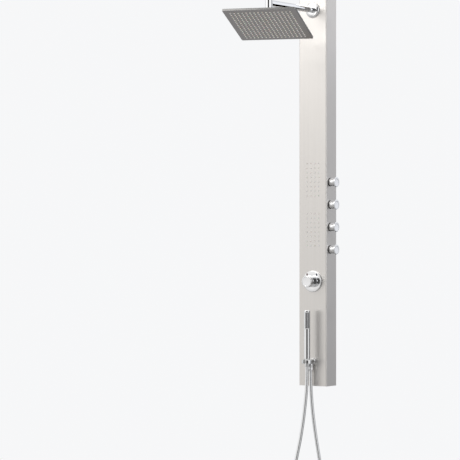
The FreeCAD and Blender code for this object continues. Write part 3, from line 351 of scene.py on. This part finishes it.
def black_rubber(name):
    """Moulded seal rubber with a grey bloom in patches."""
    tree = new_tree(name)
    bloom = tree.noise(0.008, detail=4.0, roughness=0.65)
    colour = tree.mixed(bloom.step(0.4, 0.75), CLEAN_RUBBER, BLOOMED_RUBBER)
    relief = tree.noise(0.0005, detail=2.0) * 1.5e-5
    return finish(name, colour, 0.62 + (bloom - 0.5) * 0.2, 0.0, relief, tree)


def moulded_plastic(name, colour):
    """White engineering plastic with a fine mould texture and faint flow lines."""
    tree = new_tree(name)
    flow = tree.noise((0.02, 0.02, 0.006), detail=3.0)
    tone = 0.95 + flow * 0.1
    relief = tree.noise(0.0004, detail=2.0) * 1.0e-5
    return finish(name, tree.shaded(colour, tone), 0.42 + (flow - 0.5) * 0.12, 0.0, relief, tree)


HOT_ENAMEL = (0.085, 0.022, 0.016)
COLD_ENAMEL = (0.018, 0.028, 0.055)


def mark_enamel(name):
    """Inlaid enamel: dark red on the hot side and dark blue on the cold side, with a fired surface."""
    tree = new_tree(name)
    side = tree.place().part(0).step(-0.001, 0.001)
    hot_or_cold = tree.mixed(side, HOT_ENAMEL, COLD_ENAMEL)
    pooled = tree.noise(0.0018, detail=3.0)
    tone = 0.9 + pooled * 0.2
    return finish(name, tree.shaded(hot_or_cold, tone), 0.34 + pooled * 0.12, 0.0, pooled * 1.5e-5, tree)


FOIL_PITCH = 0.0036
SILVER_FOIL = (0.84, 0.85, 0.865)


def silver_hose(name):
    """Silver foil wound round the hose under clear plastic, on the hose's own UV of turns and metres."""
    tree = new_tree(name)
    wrap = tree.node("ShaderNodeUVMap", {"uv_map": "wrap"})
    around = wrap.part(0)
    along = wrap.part(1)
    turn = (along / FOIL_PITCH + around).fraction()
    seam = 1.0 - (abs(turn - 0.5) * 2.0).step(0.0, 0.22)
    ribbon = tree.noise(0.004, detail=3.0, roughness=0.6)
    tone = 1.0 - seam * 0.07 + (ribbon - 0.5) * 0.08
    roughness = 0.24 + (ribbon - 0.5) * 0.10 + seam * 0.08
    crown = (turn - 0.5) * (turn - 0.5) * -4.0
    relief = crown * 2.5e-5
    return finish(name, tree.shaded(SILVER_FOIL, tone), roughness, 0.82, relief, tree,
                  coat_weight=0.75, coat_roughness=0.08, coat_ior=1.46)


STAINLESS = (0.720, 0.697, 0.673)
casing_steel = brushed_steel("casing_brushed_steel", STAINLESS)
cap_steel = brushed_steel("cap_brushed_steel", STAINLESS, along=0)
# The face's steel colour is darkened as painted shade on the head's downward face.
face_steel_painted_shade = head_steel("rain_head_face_steel_painted_shade", (0.405, 0.385, 0.367), 0.30)
pan_steel = head_steel("rain_head_pan_steel", (0.46, 0.455, 0.45), 0.27, rim_shade=0.62)
screw_steel = chrome("screw_steel", (0.66, 0.66, 0.67), 0.16)
bright_chrome = chrome("bright_chrome")
satin_plate = chrome("satin_plate", (0.91, 0.91, 0.915), 0.32, metallic=0.12)
bracket_zinc = zinc("bracket_zinc")
fitting_brass = machined_brass("fitting_brass")
pipe_copper = drawn_copper("pipe_copper")
nozzle_silicone = silicone("nozzle_silicone", (0.88, 0.845, 0.78), lime=0.3)
jet_silicone = silicone("jet_silicone", (0.90, 0.875, 0.84), lime=0.15)
spray_silicone = silicone("spray_silicone", (0.045, 0.046, 0.05))
seal_rubber = black_rubber("seal_rubber")
white_plastic = moulded_plastic("white_plastic", (0.74, 0.74, 0.72))
enamel = mark_enamel("mark_enamel")
hose_foil = silver_hose("hose_foil")


def dress(material, *names):
    """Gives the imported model's own meshes their finish."""
    for name in names:
        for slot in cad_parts[name].material_slots:
            slot.material = material


dress(casing_steel, "casing")
dress(cap_steel, "top_cap", "bottom_cap")
dress(face_steel_painted_shade, "head_face")
dress(pan_steel, "head_tray")
dress(screw_steel, "head_screws", "mixer_knob_screw")
dress(bright_chrome, "arm_tube", "arm_flange", "arm_stem", "ball_stud", "swivel_nut", "mixer_escutcheon",
      "mixer_knob", "mixer_knob_cap", "hose_outlet", "handset_body", "cone_nut", "hose_nut",
      "valve_knob_1", "valve_knob_2", "valve_knob_3", "valve_knob_4")
dress(satin_plate, "spray_plate")
dress(bracket_zinc, "wall_brackets", "hangers")
dress(fitting_brass, "manifold", "mixer_body", "lock_nuts", "valve_cartridges", "valve_nuts", "cartridge_nut",
      "head_boss", "supply_unions", "mixer_spindle", "valve_spindle_1", "valve_spindle_2", "valve_spindle_3",
      "valve_spindle_4")
dress(pipe_copper, "feed_pipe", "riser_pipe", "jet_pipe_upper", "jet_pipe_lower", "hand_shower_pipe",
      "hot_supply_pipe", "cold_supply_pipe")
dress(nozzle_silicone, "head_nozzle_mat")
dress(jet_silicone, "jet_mat_upper", "jet_mat_lower")
dress(spray_silicone, "spray_nozzles")
# The black of the knob seals is partly the seals' own rubber and partly a painted shadow round the base of each
# stop knob.
dress(seal_rubber, "arm_gasket", "knob_seals")
dress(white_plastic, "jet_box_upper", "jet_box_lower", "cradle_liner", "ball_seat", "check_valves",
      "mixing_cartridge")
dress(enamel, "temperature_marks")
dress(hose_foil, "hose")


# ---- making pieces ----
def made_piece(name, bm, material, body, node=None, crease=32.0):
    """An object at the origin from a finished bmesh in millimetres, riding on its body."""
    bmesh.ops.scale(bm, vec=(MM, MM, MM), verts=bm.verts)
    mesh = bpy.data.meshes.new(name)
    bm.to_mesh(mesh)
    bm.free()
    mesh.polygons.foreach_set("use_smooth", [True] * len(mesh.polygons))
    mesh.set_sharp_from_angle(angle=math.radians(crease))
    mesh.materials.append(material)
    piece = bpy.data.objects.new(name, mesh)
    bpy.context.scene.collection.objects.link(piece)
    if body is not None:
        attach(piece, body)
    if node is not None:
        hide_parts(node)
    return piece


def verts_in(geom):
    return [item for item in geom if isinstance(item, bmesh.types.BMVert)]


def edges_in(geom):
    return [item for item in geom if isinstance(item, bmesh.types.BMEdge)]


def extruded_ring(bm, ring):
    """Grows a ring of edges once. Gives the new vertices, the new ring and the walls between."""
    made = bmesh.ops.extrude_edge_only(bm, edges=ring)["geom"]
    verts = verts_in(made)
    new_ring = [edge for edge in edges_in(made) if all(vert in verts for vert in edge.verts)]
    walls = [item for item in made if isinstance(item, bmesh.types.BMFace)]
    return verts, new_ring, walls


def along_axis(centre, direction):
    """The matrix that stands a piece drawn about +Z on a centre, pointing in a direction."""
    turn = Vector((0, 0, 1)).rotation_difference(Vector(direction))
    return Matrix.Translation(Vector(centre)) @ turn.to_matrix().to_4x4()


WELD = 1e-4


def turned_mesh(profile, closed=False, steps=96, corner_steps=4):
    """A bmesh turned about +Z from corners of (along, radius) or (along, radius, rounding)."""
    bm = bmesh.new()
    corners = [bm.verts.new((corner[1], 0.0, corner[0])) for corner in profile]
    pairs = list(zip(corners, corners[1:]))
    if closed:
        pairs.append((corners[-1], corners[0]))
    for pair in pairs:
        bm.edges.new(pair)
    rounded = [(vert, corner[2]) for vert, corner in zip(corners, profile) if len(corner) > 2]
    for rounding in sorted({radius for vert, radius in rounded}):
        chosen = [vert for vert, radius in rounded if radius == rounding]
        bmesh.ops.bevel(bm, geom=chosen, offset=rounding, segments=corner_steps, profile=0.5,
                        affect="VERTICES", material=-1)
    bmesh.ops.spin(bm, geom=bm.verts[:] + bm.edges[:], cent=(0, 0, 0), axis=(0, 0, 1), angle=math.tau,
                   steps=steps, use_merge=True)
    bmesh.ops.remove_doubles(bm, verts=bm.verts, dist=WELD)
    bmesh.ops.recalc_face_normals(bm, faces=bm.faces)
    return bm


def turned_piece(name, profile, centre, direction, material, body, node=None, slot="chrome", **shape):
    """A turned piece in its place, riding on its body and standing for a node."""
    bm = turned_mesh(profile, **shape)
    bmesh.ops.transform(bm, matrix=along_axis(centre, direction), verts=bm.verts)
    return made_piece(name, bm, material, body, node)


# ---- camera ----
FOCAL_LENGTH_MM = 166.02
SENSOR_WIDTH_MM = 36.0
FARTHEST_SEEN = 80.0
CAMERA_PLACE = (4.66161, -7.52476, -0.17451)
CAMERA_LEVEL = 90.0
CAMERA_TURN = 34.27


def add_camera():
    """The photograph's view: level, from the right of the column."""
    lens = bpy.data.cameras.new("camera")
    lens.lens = FOCAL_LENGTH_MM
    lens.sensor_width = SENSOR_WIDTH_MM
    lens.clip_end = FARTHEST_SEEN
    camera = bpy.data.objects.new("camera", lens)
    camera.location = CAMERA_PLACE
    camera.rotation_euler = (math.radians(CAMERA_LEVEL), 0.0, math.radians(CAMERA_TURN))
    bpy.context.scene.collection.objects.link(camera)
    bpy.context.scene.camera = camera


add_camera()

# ---- hose ----
HOSE_ROUTE = [
    (0.0, -91.5, -757.0),
    (0.0, -91.5, -812.0),
    (5.0, -87.0, -915.0),
    (15.0, -78.0, -1020.0),
    (29.0, -68.5, -1125.0),
    (41.0, -60.0, -1230.0),
    (46.0, -56.5, -1320.0),
    (44.5, -58.0, -1395.0),
    (26.0, -78.0, -1437.0),
    (-5.0, -112.0, -1455.0),
    (-37.0, -146.5, -1440.0),
    (-56.5, -167.0, -1397.0),
    (-58.0, -169.0, -1320.0),
    (-51.0, -161.0, -1225.0),
    (-36.0, -148.0, -1123.0),
    (-19.5, -134.0, -1020.0),
    (-8.0, -125.0, -915.0),
    (0.0, -119.0, -808.0),
    (0.0, -119.0, -738.5),
]
HOSE_RADIUS = 7.0
HOSE_SIDES = 24
HOSE_STEPS_PER_RUN = 48


def hose_line():
    """Points along the hose's smooth line, in metres."""
    curve = bpy.data.curves.new("hose_route", "CURVE")
    curve.dimensions = "3D"
    curve.resolution_u = HOSE_STEPS_PER_RUN
    spline = curve.splines.new("NURBS")
    spline.points.add(len(HOSE_ROUTE) - 1)
    for knot, place in zip(spline.points, HOSE_ROUTE):
        knot.co = (*(x * MM for x in place), 1.0)
    spline.order_u = 3
    spline.use_endpoint_u = True
    route = bpy.data.objects.new("hose_route", curve)
    line = bpy.data.meshes.new_from_object(route)
    points = [vert.co.copy() for vert in line.vertices]
    bpy.data.objects.remove(route)
    bpy.data.curves.remove(curve)
    bpy.data.meshes.remove(line)
    return points


def numbered_ahead(verts, numbers):
    """Each new vertex of a ring with the number of the old one behind it."""
    ahead = {}
    for vert in verts:
        neighbours = [edge.other_vert(vert) for edge in vert.link_edges]
        ahead[vert] = next(numbers[other] for other in neighbours if other in numbers)
    return ahead


def wrap_walls(walls, wrap, behind, ahead, travelled, length):
    """Lays the hose's UV on one short run of it: turns round the hose, and metres along it."""
    for face in walls:
        numbers = {ahead.get(loop.vert, behind.get(loop.vert)) for loop in face.loops}
        at_seam = max(numbers) - min(numbers) > 1
        for loop in face.loops:
            is_ahead = loop.vert in ahead
            number = ahead[loop.vert] if is_ahead else behind[loop.vert]
            turns = 1.0 if at_seam and number == 0 else number / HOSE_SIDES
            loop[wrap].uv = (turns, travelled + (length if is_ahead else 0.0))


def hose_piece():
    """The hose: a ring as wide as its outside is extruded from point to point of its line."""
    points = hose_line()
    bm = bmesh.new()
    wrap = bm.loops.layers.uv.new("wrap")
    forward = (points[1] - points[0]).normalized()
    first_ring = bmesh.ops.create_circle(bm, cap_ends=False, radius=HOSE_RADIUS * MM, segments=HOSE_SIDES,
                                         matrix=along_axis(points[0], forward))["verts"]
    numbers = {vert: number for number, vert in enumerate(first_ring)}
    ring = bm.edges[:]
    bmesh.ops.contextual_create(bm, geom=ring)
    travelled = 0.0
    for i in range(1, len(points)):
        heading = (points[min(i + 1, len(points) - 1)] - points[i - 1]).normalized()
        verts, ring, walls = extruded_ring(bm, ring)
        ahead = numbered_ahead(verts, numbers)
        swing = forward.rotation_difference(heading).to_matrix().to_4x4()
        move = Matrix.Translation(points[i]) @ swing @ Matrix.Translation(-points[i - 1])
        bmesh.ops.transform(bm, matrix=move, verts=verts)
        length = (points[i] - points[i - 1]).length
        wrap_walls(walls, wrap, numbers, ahead, travelled, length)
        travelled += length
        numbers = ahead
        forward = heading
    bmesh.ops.contextual_create(bm, geom=ring)
    bmesh.ops.recalc_face_normals(bm, faces=bm.faces)
    bmesh.ops.scale(bm, vec=(1 / MM, 1 / MM, 1 / MM), verts=bm.verts)
    hose = made_piece("silver_hose", bm, hose_foil, None, "hose", crease=60.0)
    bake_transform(hose)


hose_piece()


# ---- knobs, covers and nuts ----
def press_flutes(bm, count, low, high, inner, depth):
    """Presses grip flutes into the outer rings between two places along the axis."""
    for vert in bm.verts:
        radius = math.hypot(vert.co.x, vert.co.y)
        if low < vert.co.z < high and radius > inner:
            turn = math.atan2(vert.co.y, vert.co.x)
            pressed = radius - depth * (0.5 - 0.5 * math.cos(count * turn))
            vert.co.x *= pressed / radius
            vert.co.y *= pressed / radius


def arc(centre, radius, start, end, count):
    """Corners of (along, radius) on an arc, from one angle to another in degrees off the axis."""
    corners = []
    for i in range(count + 1):
        angle = math.radians(start + (end - start) * i / count)
        corners.append((centre[0] + radius[0] * math.cos(angle), centre[1] + radius[1] * math.sin(angle)))
    return corners


STOP_KNOB = [
    (30.55, 0.0), (30.55, 13.0, 0.25), (31.0, 13.8, 0.4), (31.0, 20.5, 1.3), (26.6, 20.5, 0.7),
    *arc((17.6, 20.5), (9.0, 4.3), -2.0, -90.0, 10)[1:],
    (2.8, 16.2, 0.7), (2.8, 12.3, 0.3), (11.8, 12.3), (11.8, 3.1), (22.2, 3.1), (22.2, 0.0),
]
MIXER_KNOB_BASE = -82.8
MIXER_KNOB = [
    (0.0, 16.5, 0.3), (0.0, 24.0, 0.9), (41.2, 24.0, 1.8), (41.2, 21.2, 0.25), (38.2, 21.2), (38.2, 6.0),
    (22.2, 6.0), (22.2, 2.1), (18.2, 2.1), (18.2, 4.1), (7.0, 4.1), (7.0, 16.5),
]
MIXER_CAP_BACK = -121.0
MIXER_CAP = [(0.0, 0.0), (0.0, 21.0), (3.5, 21.0, 0.5), (3.5, 19.2, 0.3), (3.25, 18.6, 0.3), (3.15, 0.0)]
ESCUTCHEON = [(0.0, 19.1), (0.0, 44.0, 0.3), (7.0, 44.0, 2.4), (7.0, 19.1, 0.3)]
ARM_FLANGE = [(0.0, 12.6), (0.0, 32.5, 0.3), (2.4, 32.5, 0.6), *arc((3.0, 16.5), (6.0, 15.4), 80.0, 6.0, 14),
              (9.0, 16.2, 0.3), (9.0, 12.6, 0.2)]
HOSE_NUT = [
    (0.0, 10.55), (0.0, 11.5, 0.3), (2.8, 11.5), (3.4, 11.5), (16.6, 11.5), (17.2, 11.5), (18.6, 11.5, 0.2),
    (19.0, 10.9, 0.2), (19.8, 10.9, 0.2), (20.2, 11.5, 0.3), (21.2, 11.4, 0.6), (26.0, 9.0, 0.7), (26.0, 4.1),
    (7.5, 4.1), (7.5, 10.55),
]
CONE_NUT = [
    (0.0, 4.1), (0.0, 9.9, 0.6), (29.4, 11.78, 0.15), (29.7, 11.4, 0.15), (30.6, 11.45, 0.15),
    (30.9, 11.88, 0.15), (32.4, 11.97, 0.15), (32.7, 11.6, 0.15), (33.6, 11.65, 0.15), (33.9, 12.07, 0.15),
    (36.0, 12.2, 0.5), (36.0, 9.4), (27.0, 9.4), (27.0, 4.1),
]
SWIVEL_NUT = [
    (-27.0, 15.2), (-27.0, 18.0, 1.3), (-24.0, 18.0), (-23.2, 18.0), (-2.2, 18.0), (-1.4, 18.0),
    (1.6, 18.0, 1.0), (10.5, 14.0, 0.7), (10.5, 12.5, 0.2), *arc((0.0, 0.0), (13.1, 13.1), 52.0, 94.0, 8),
    (-1.0, 15.2),
]
HEAD_PLACE = (Matrix.Translation(HEAD_PIVOT) @ Matrix.Rotation(math.radians(HEAD_YAW), 4, "Z")
              @ Matrix.Rotation(math.radians(-HEAD_TILT), 4, "X"))

for number, height in enumerate(VALVE_HEIGHTS, 1):
    turned_piece(f"stop_knob_{number}", STOP_KNOB, (PANEL_SIDE, VALVE_Y, height), (1, 0, 0), bright_chrome,
                 f"valve_{number}", f"valve_knob_{number}")
turned_piece("mixer_grip", MIXER_KNOB, (0, MIXER_KNOB_BASE, MIXER_Z), (0, -1, 0), bright_chrome,
             "mixer_control", "mixer_knob", closed=True)
turned_piece("mixer_grip_cap", MIXER_CAP, (0, MIXER_CAP_BACK, MIXER_Z), (0, -1, 0), bright_chrome,
             "mixer_control", "mixer_knob_cap")
turned_piece("mixer_cover_plate", ESCUTCHEON, (0, PANEL_FRONT, MIXER_Z), (0, -1, 0), bright_chrome,
             "root", "mixer_escutcheon", closed=True, steps=128)
turned_piece("arm_cover_plate", ARM_FLANGE, (0, ARM_FACE, ARM_Z), (0, -1, 0), bright_chrome,
             "root", "arm_flange", closed=True, steps=128)
turned_piece("cone_end", CONE_NUT, (0, CRADLE_Y, CONE_FOOT), (0, 0, 1), bright_chrome,
             "hand_shower", "cone_nut", closed=True)


STEPS_PER_FLUTE = 6


def grip_nut(name, profile, place, body, node, count, **flutes):
    """A turned nut with grip flutes round it."""
    bm = turned_mesh(profile, closed=True, steps=STEPS_PER_FLUTE * count)
    press_flutes(bm, count, **flutes)
    bmesh.ops.transform(bm, matrix=place, verts=bm.verts)
    made_piece(name, bm, bright_chrome, body, node)


grip_nut("hose_grip_nut", HOSE_NUT, along_axis((0, PORT_Y, HOSE_NUT_TOP), (0, 0, -1)), "root", "hose_nut",
         count=22, low=3.2, high=16.8, inner=11.0, depth=0.4)
grip_nut("ball_grip_nut", SWIVEL_NUT, HEAD_PLACE, "rain_head", "swivel_nut",
         count=24, low=-23.4, high=-2.0, inner=17.0, depth=0.5)


# ---- temperature marks ----
MARK_REACH = 23.14
MARK_BACK = (0.0, -81.0, -359.42)
MARK_WIDTH = 6.5
MARK_LENGTH = 11.0
MARK_DEPTH = 1.25
MARK_EDGE = 0.22
MARK_SIDES = 48


def temperature_marks():
    """Two upright pills of enamel, let into the mixer's cover plate and just proud of it."""
    bm = bmesh.new()
    half_step = Matrix.Rotation(math.radians(360 / MARK_SIDES / 2), 4, "Z")
    reach = (MARK_LENGTH - MARK_WIDTH) / 2
    for side in (-MARK_REACH, MARK_REACH):
        disc = bmesh.ops.create_circle(bm, cap_ends=True, radius=MARK_WIDTH / 2, segments=MARK_SIDES,
                                       matrix=Matrix.Translation((side, 0, 0)) @ half_step)["verts"]
        for sense in (-1, 1):
            end = [vert for vert in disc if vert.co.y * sense > 0]
            bmesh.ops.translate(bm, vec=(0, sense * reach, 0), verts=end)
    raised = bmesh.ops.extrude_face_region(bm, geom=bm.faces[:], use_keep_orig=True)["geom"]
    bmesh.ops.translate(bm, vec=(0, 0, MARK_DEPTH), verts=verts_in(raised))
    bmesh.ops.bevel(bm, geom=edges_in(raised), offset=MARK_EDGE, segments=3, profile=0.5, affect="EDGES",
                    material=-1)
    bmesh.ops.recalc_face_normals(bm, faces=bm.faces)
    stand = Matrix.Translation(MARK_BACK) @ Matrix.Rotation(math.radians(90), 4, "X")
    bmesh.ops.transform(bm, matrix=stand, verts=bm.verts)
    made_piece("enamel_marks", bm, enamel, "root", "temperature_marks")


temperature_marks()


# ---- rain head ----
PAN_CORNER = 5.0
PAN_ROLL = 1.7


def head_pan():
    """The head's folded back pan: a square with soft corners, rolled at its back edge and hollow below."""
    bm = bmesh.new()
    bmesh.ops.create_grid(bm, x_segments=1, y_segments=1, size=HEAD_SIDE / 2)
    bmesh.ops.bevel(bm, geom=bm.verts[:], offset=PAN_CORNER, segments=8, profile=0.5, affect="VERTICES",
                    material=-1)
    bmesh.ops.translate(bm, vec=(0, 0, -HEAD_FACE_DROP), verts=bm.verts)
    raised = bmesh.ops.extrude_face_region(bm, geom=bm.faces[:], use_keep_orig=True)["geom"]
    bmesh.ops.translate(bm, vec=(0, 0, HEAD_THICKNESS), verts=verts_in(raised))
    bmesh.ops.bevel(bm, geom=edges_in(raised), offset=PAN_ROLL, segments=4, profile=0.5, affect="EDGES",
                    material=-1)
    under = [face for face in bm.faces if all(abs(vert.co.z + HEAD_FACE_DROP) < WELD for vert in face.verts)]
    bmesh.ops.recalc_face_normals(bm, faces=bm.faces)
    bmesh.ops.inset_individual(bm, faces=under, thickness=HEAD_SHEET)
    hollow = bmesh.ops.extrude_discrete_faces(bm, faces=under)["faces"]
    bmesh.ops.translate(bm, vec=(0, 0, HEAD_THICKNESS - HEAD_SHEET), verts=hollow[0].verts)
    bmesh.ops.transform(bm, matrix=HEAD_PLACE, verts=bm.verts)
    made_piece("rain_head_pan", bm, pan_steel, "rain_head", "head_tray")


SCREW_REACH = 136.0
SCREWS_PER_SIDE = 5
SCREW_CROWN = [(0.0, 0.0), (0.0, 3.2, 0.15), (0.8, 3.2), *arc((0.8, 0.0), (1.4, 3.2), 80.0, 34.0, 5)]
SCREW_SOCKET = ((1.05, 0.0), (1.0, 1.1))
HEX_SIDE = math.pi / 3


def socket_screw():
    """One domed screw as a mesh. Its socket is drawn as hexagons, each by its half width and its drop."""
    bm = turned_mesh(SCREW_CROWN, steps=24, corner_steps=2)
    mouth = [edge for edge in bm.edges if edge.is_boundary]
    for half_width, drop in SCREW_SOCKET:
        verts, mouth, _ = extruded_ring(bm, mouth)
        for vert in verts:
            turn = math.atan2(vert.co.y, vert.co.x)
            off = (turn + HEX_SIDE / 2) % HEX_SIDE - HEX_SIDE / 2
            reach = half_width / math.cos(off)
            vert.co = (reach * math.cos(turn), reach * math.sin(turn), vert.co.z - drop)
    bmesh.ops.contextual_create(bm, geom=mouth)
    bmesh.ops.recalc_face_normals(bm, faces=bm.faces)
    mesh = bpy.data.meshes.new("socket_screw")
    bm.to_mesh(mesh)
    bm.free()
    return mesh


def evenly(reach, count):
    """Places from -reach to +reach."""
    return [reach * (2 * i / (count - 1) - 1) for i in range(count)]


def add_copy(bm, mesh, place):
    """Adds a copy of a mesh at a place."""
    before = len(bm.verts)
    bm.from_mesh(mesh)
    bm.verts.ensure_lookup_table()
    bmesh.ops.translate(bm, vec=place, verts=bm.verts[before:])


def head_screws():
    """Sixteen screws round the rim of the back pan."""
    screw = socket_screw()
    bm = bmesh.new()
    for x in evenly(SCREW_REACH, SCREWS_PER_SIDE):
        for y in evenly(SCREW_REACH, SCREWS_PER_SIDE):
            if max(abs(x), abs(y)) > SCREW_REACH - 1.0:
                add_copy(bm, screw, (x, y, HEAD_THICKNESS - HEAD_FACE_DROP))
    bmesh.ops.transform(bm, matrix=HEAD_PLACE, verts=bm.verts)
    made_piece("rain_head_screws", bm, screw_steel, "rain_head", "head_screws")
    bpy.data.meshes.remove(screw)


NOZZLES_PER_SIDE = 16
NOZZLE_REACH = 123.0
MAT_SIDE = 258.0
MAT_ROUNDING = 5.0
MAT_THICKNESS = 1.5
NOZZLE = [(0.0, 3.3), (1.6, 3.3), (2.6, 3.15, 0.3), (4.0, 2.7, 0.5), (4.0, 0.75, 0.2), (3.2, 0.6)]


def nozzle_mat():
    """The silicone mat behind the head's face, with a rounded, drilled nozzle through each hole."""
    bm = turned_mesh(NOZZLE, steps=12, corner_steps=2)
    bore_end = [edge for edge in bm.edges if edge.is_boundary and edge.verts[0].co.z > MAT_THICKNESS]
    bmesh.ops.contextual_create(bm, geom=bore_end)
    nozzle = bpy.data.meshes.new("one_nozzle")
    bm.to_mesh(nozzle)
    bm.clear()
    for x in evenly(NOZZLE_REACH, NOZZLES_PER_SIDE):
        for y in evenly(NOZZLE_REACH, NOZZLES_PER_SIDE):
            add_copy(bm, nozzle, (x, y, 0))
    before = len(bm.verts)
    bmesh.ops.create_grid(bm, x_segments=1, y_segments=1, size=MAT_SIDE / 2)
    bm.verts.ensure_lookup_table()
    bmesh.ops.bevel(bm, geom=bm.verts[before:], offset=MAT_ROUNDING, segments=6, profile=0.5,
                    affect="VERTICES", material=-1)
    bm.verts.ensure_lookup_table()
    sheet = list({face for vert in bm.verts[before:] for face in vert.link_faces})
    raised = bmesh.ops.extrude_face_region(bm, geom=sheet, use_keep_orig=True)["geom"]
    bmesh.ops.translate(bm, vec=(0, 0, -MAT_THICKNESS), verts=verts_in(raised))
    bmesh.ops.recalc_face_normals(bm, faces=bm.faces)
    hang = Matrix.Translation((0, 0, HEAD_SHEET - HEAD_FACE_DROP)) @ Matrix.Rotation(math.pi, 4, "X")
    bmesh.ops.transform(bm, matrix=HEAD_PLACE @ hang, verts=bm.verts)
    made_piece("rain_head_nozzles", bm, nozzle_silicone, "rain_head", "head_nozzle_mat")
    bpy.data.meshes.remove(nozzle)


head_pan()
head_screws()
nozzle_mat()


# ---- room ----
WARM_LIGHT = (1.0, 0.985, 0.965)
NEUTRAL_LIGHT = (0.99, 0.99, 1.0)
COOL_LIGHT = (0.96, 0.97, 1.0)
# name, place, target, width, height, watts and colour
SOFTBOXES = (
    ("key_softbox", (-1.6, -3.6, 3.0), (0.0, 0.0, 0.1), 2.6, 2.6, 60.0, WARM_LIGHT),
    ("front_glow", (-1.85, -2.7, 1.6), (0.0, 0.0, 0.5), 1.5, 1.6, 4.5, WARM_LIGHT),
    ("fill_softbox", (2.7, -2.1, 0.6), (0.0, 0.0, 0.1), 1.2, 2.0, 9.0, NEUTRAL_LIGHT),
    ("side_glow", (1.65, 2.4, 1.5), (0.0, 0.0, 0.5), 1.4, 1.5, 2.2, COOL_LIGHT),
)


def add_softbox(name, place, target, width, height, watts, colour):
    """A rectangular lamp that faces its target and isn't seen by the camera."""
    lamp = bpy.data.lights.new(name, "AREA")
    lamp.shape = "RECTANGLE"
    lamp.size = width
    lamp.size_y = height
    lamp.energy = watts
    lamp.color = colour
    softbox = bpy.data.objects.new(name, lamp)
    softbox.location = place
    aim = Vector(target) - Vector(place)
    softbox.rotation_euler = aim.to_track_quat("-Z", "Y").to_euler()
    softbox.visible_camera = False
    bpy.context.scene.collection.objects.link(softbox)


FLOOR_RADIUS = 3.0
FLOOR_Z = -1.5
FLOOR_FADE = (1.4, 2.9)
FLOOR_AS_LIT = (0.80, 0.80, 0.80)
FLOOR_AS_SEEN = (0.97, 0.97, 0.975)


def add_floor():
    """A pale disc that fades out at its rim and isn't seen from below or in reflections."""
    bm = bmesh.new()
    bmesh.ops.create_circle(bm, cap_ends=True, radius=FLOOR_RADIUS, segments=128)
    bmesh.ops.translate(bm, vec=(0, 0, FLOOR_Z), verts=bm.verts)
    tree = new_tree("studio_floor")
    where = tree.place()
    distance = (where.part(0) * where.part(0) + where.part(1) * where.part(1)) ** 0.5
    below = tree.node("ShaderNodeNewGeometry", output="Backfacing")
    glossy = tree.node("ShaderNodeLightPath", output="Is Glossy Ray")
    gone = distance.step(*FLOOR_FADE).at_least(below).at_least(glossy)
    seen = tree.node("ShaderNodeLightPath", output="Is Camera Ray")
    pale = tree.mixed(seen, FLOOR_AS_LIT, FLOOR_AS_SEEN)
    matt = tree.node("ShaderNodeBsdfDiffuse", inputs={"Color": pale})
    clear = tree.node("ShaderNodeBsdfTransparent")
    surface = tree.node("ShaderNodeMixShader", inputs={0: gone, 1: matt, 2: clear})
    tree.node("ShaderNodeOutputMaterial", inputs={"Surface": surface})
    mesh = bpy.data.meshes.new("studio_floor")
    bm.to_mesh(mesh)
    bm.free()
    mesh.materials.append(tree.owner)
    floor = bpy.data.objects.new("studio_floor", mesh)
    bpy.context.scene.collection.objects.link(floor)


TOWARDS_CAMERA = (0.46, -0.888, 0.03)
AWAY_FROM_CAMERA = (-0.563, 0.826, 0.0)
BEHIND_RIGHT = (0.527, 0.85, 0.0)
RAYS = ("Is Camera Ray", "Is Glossy Ray", "Is Transmission Ray")
MIRRORED_WHITE = 0.99
ROOM_LIGHT = 0.62
BACKDROP_LIFT = 0.32
BACKDROP = (0.985, 0.99, 1.0)
WARM_MIRRORED = (1.0, 0.985, 0.968)
COOL_MIRRORED = (0.955, 0.965, 1.0)


def add_world():
    """A pale studio. Its few dark sides are seen only in reflections, as flags beside a real set are.

    Each shade is what its side of the room loses of the white that a mirror would show.
    """
    world = bpy.data.worlds.new("studio")
    bpy.context.scene.world = world
    tree = Tree(world)
    towards = tree.node("ShaderNodeTexCoord", output="Generated")
    heading = tree.node("ShaderNodeVectorMath", {"operation": "NORMALIZE"}, {0: towards})

    def lobe(direction, inner, outer):
        """1 within inner degrees of a direction, 0 beyond outer degrees."""
        aligned = tree.node("ShaderNodeVectorMath", {"operation": "DOT_PRODUCT"},
                            {0: heading, 1: Vector(direction).normalized()}, output="Value")
        return aligned.step(math.cos(math.radians(outer)), math.cos(math.radians(inner)))

    behind_camera = lobe(TOWARDS_CAMERA, 25.0, 37.0) * 0.91
    behind_column = lobe(AWAY_FROM_CAMERA, 22.0, 44.0) * 0.50
    right_of_column = lobe(BEHIND_RIGHT, 30.0, 62.0) * (0.61 - heading.part(2) * 1.1).at_least(0.1)
    below = (-heading.part(2)).step(-0.14, 0.5) * 0.50
    shade = behind_camera.at_least(behind_column).at_least(right_of_column).at_least(below)
    window = lobe(BEHIND_RIGHT, 5.0, 10.0) * 0.50
    reflected = MIRRORED_WHITE - shade + window
    cool = heading.part(1).step(-0.3, 0.6)
    glossy_colour = tree.mixed(cool, WARM_MIRRORED, COOL_MIRRORED)
    camera, glossy, clear = (tree.node("ShaderNodeLightPath", output=ray) for ray in RAYS)
    plain = ROOM_LIGHT + (camera + clear).at_most(1.0) * BACKDROP_LIFT
    strength = plain * (1.0 - glossy) + reflected * glossy
    colour = tree.mixed(glossy, BACKDROP, glossy_colour)
    background = tree.node("ShaderNodeBackground", inputs={"Color": colour, "Strength": strength})
    tree.node("ShaderNodeOutputWorld", inputs={"Surface": background})


add_floor()
add_world()
for softbox in SOFTBOXES:
    add_softbox(*softbox)
bpy.context.scene.view_settings.view_transform = "Standard"
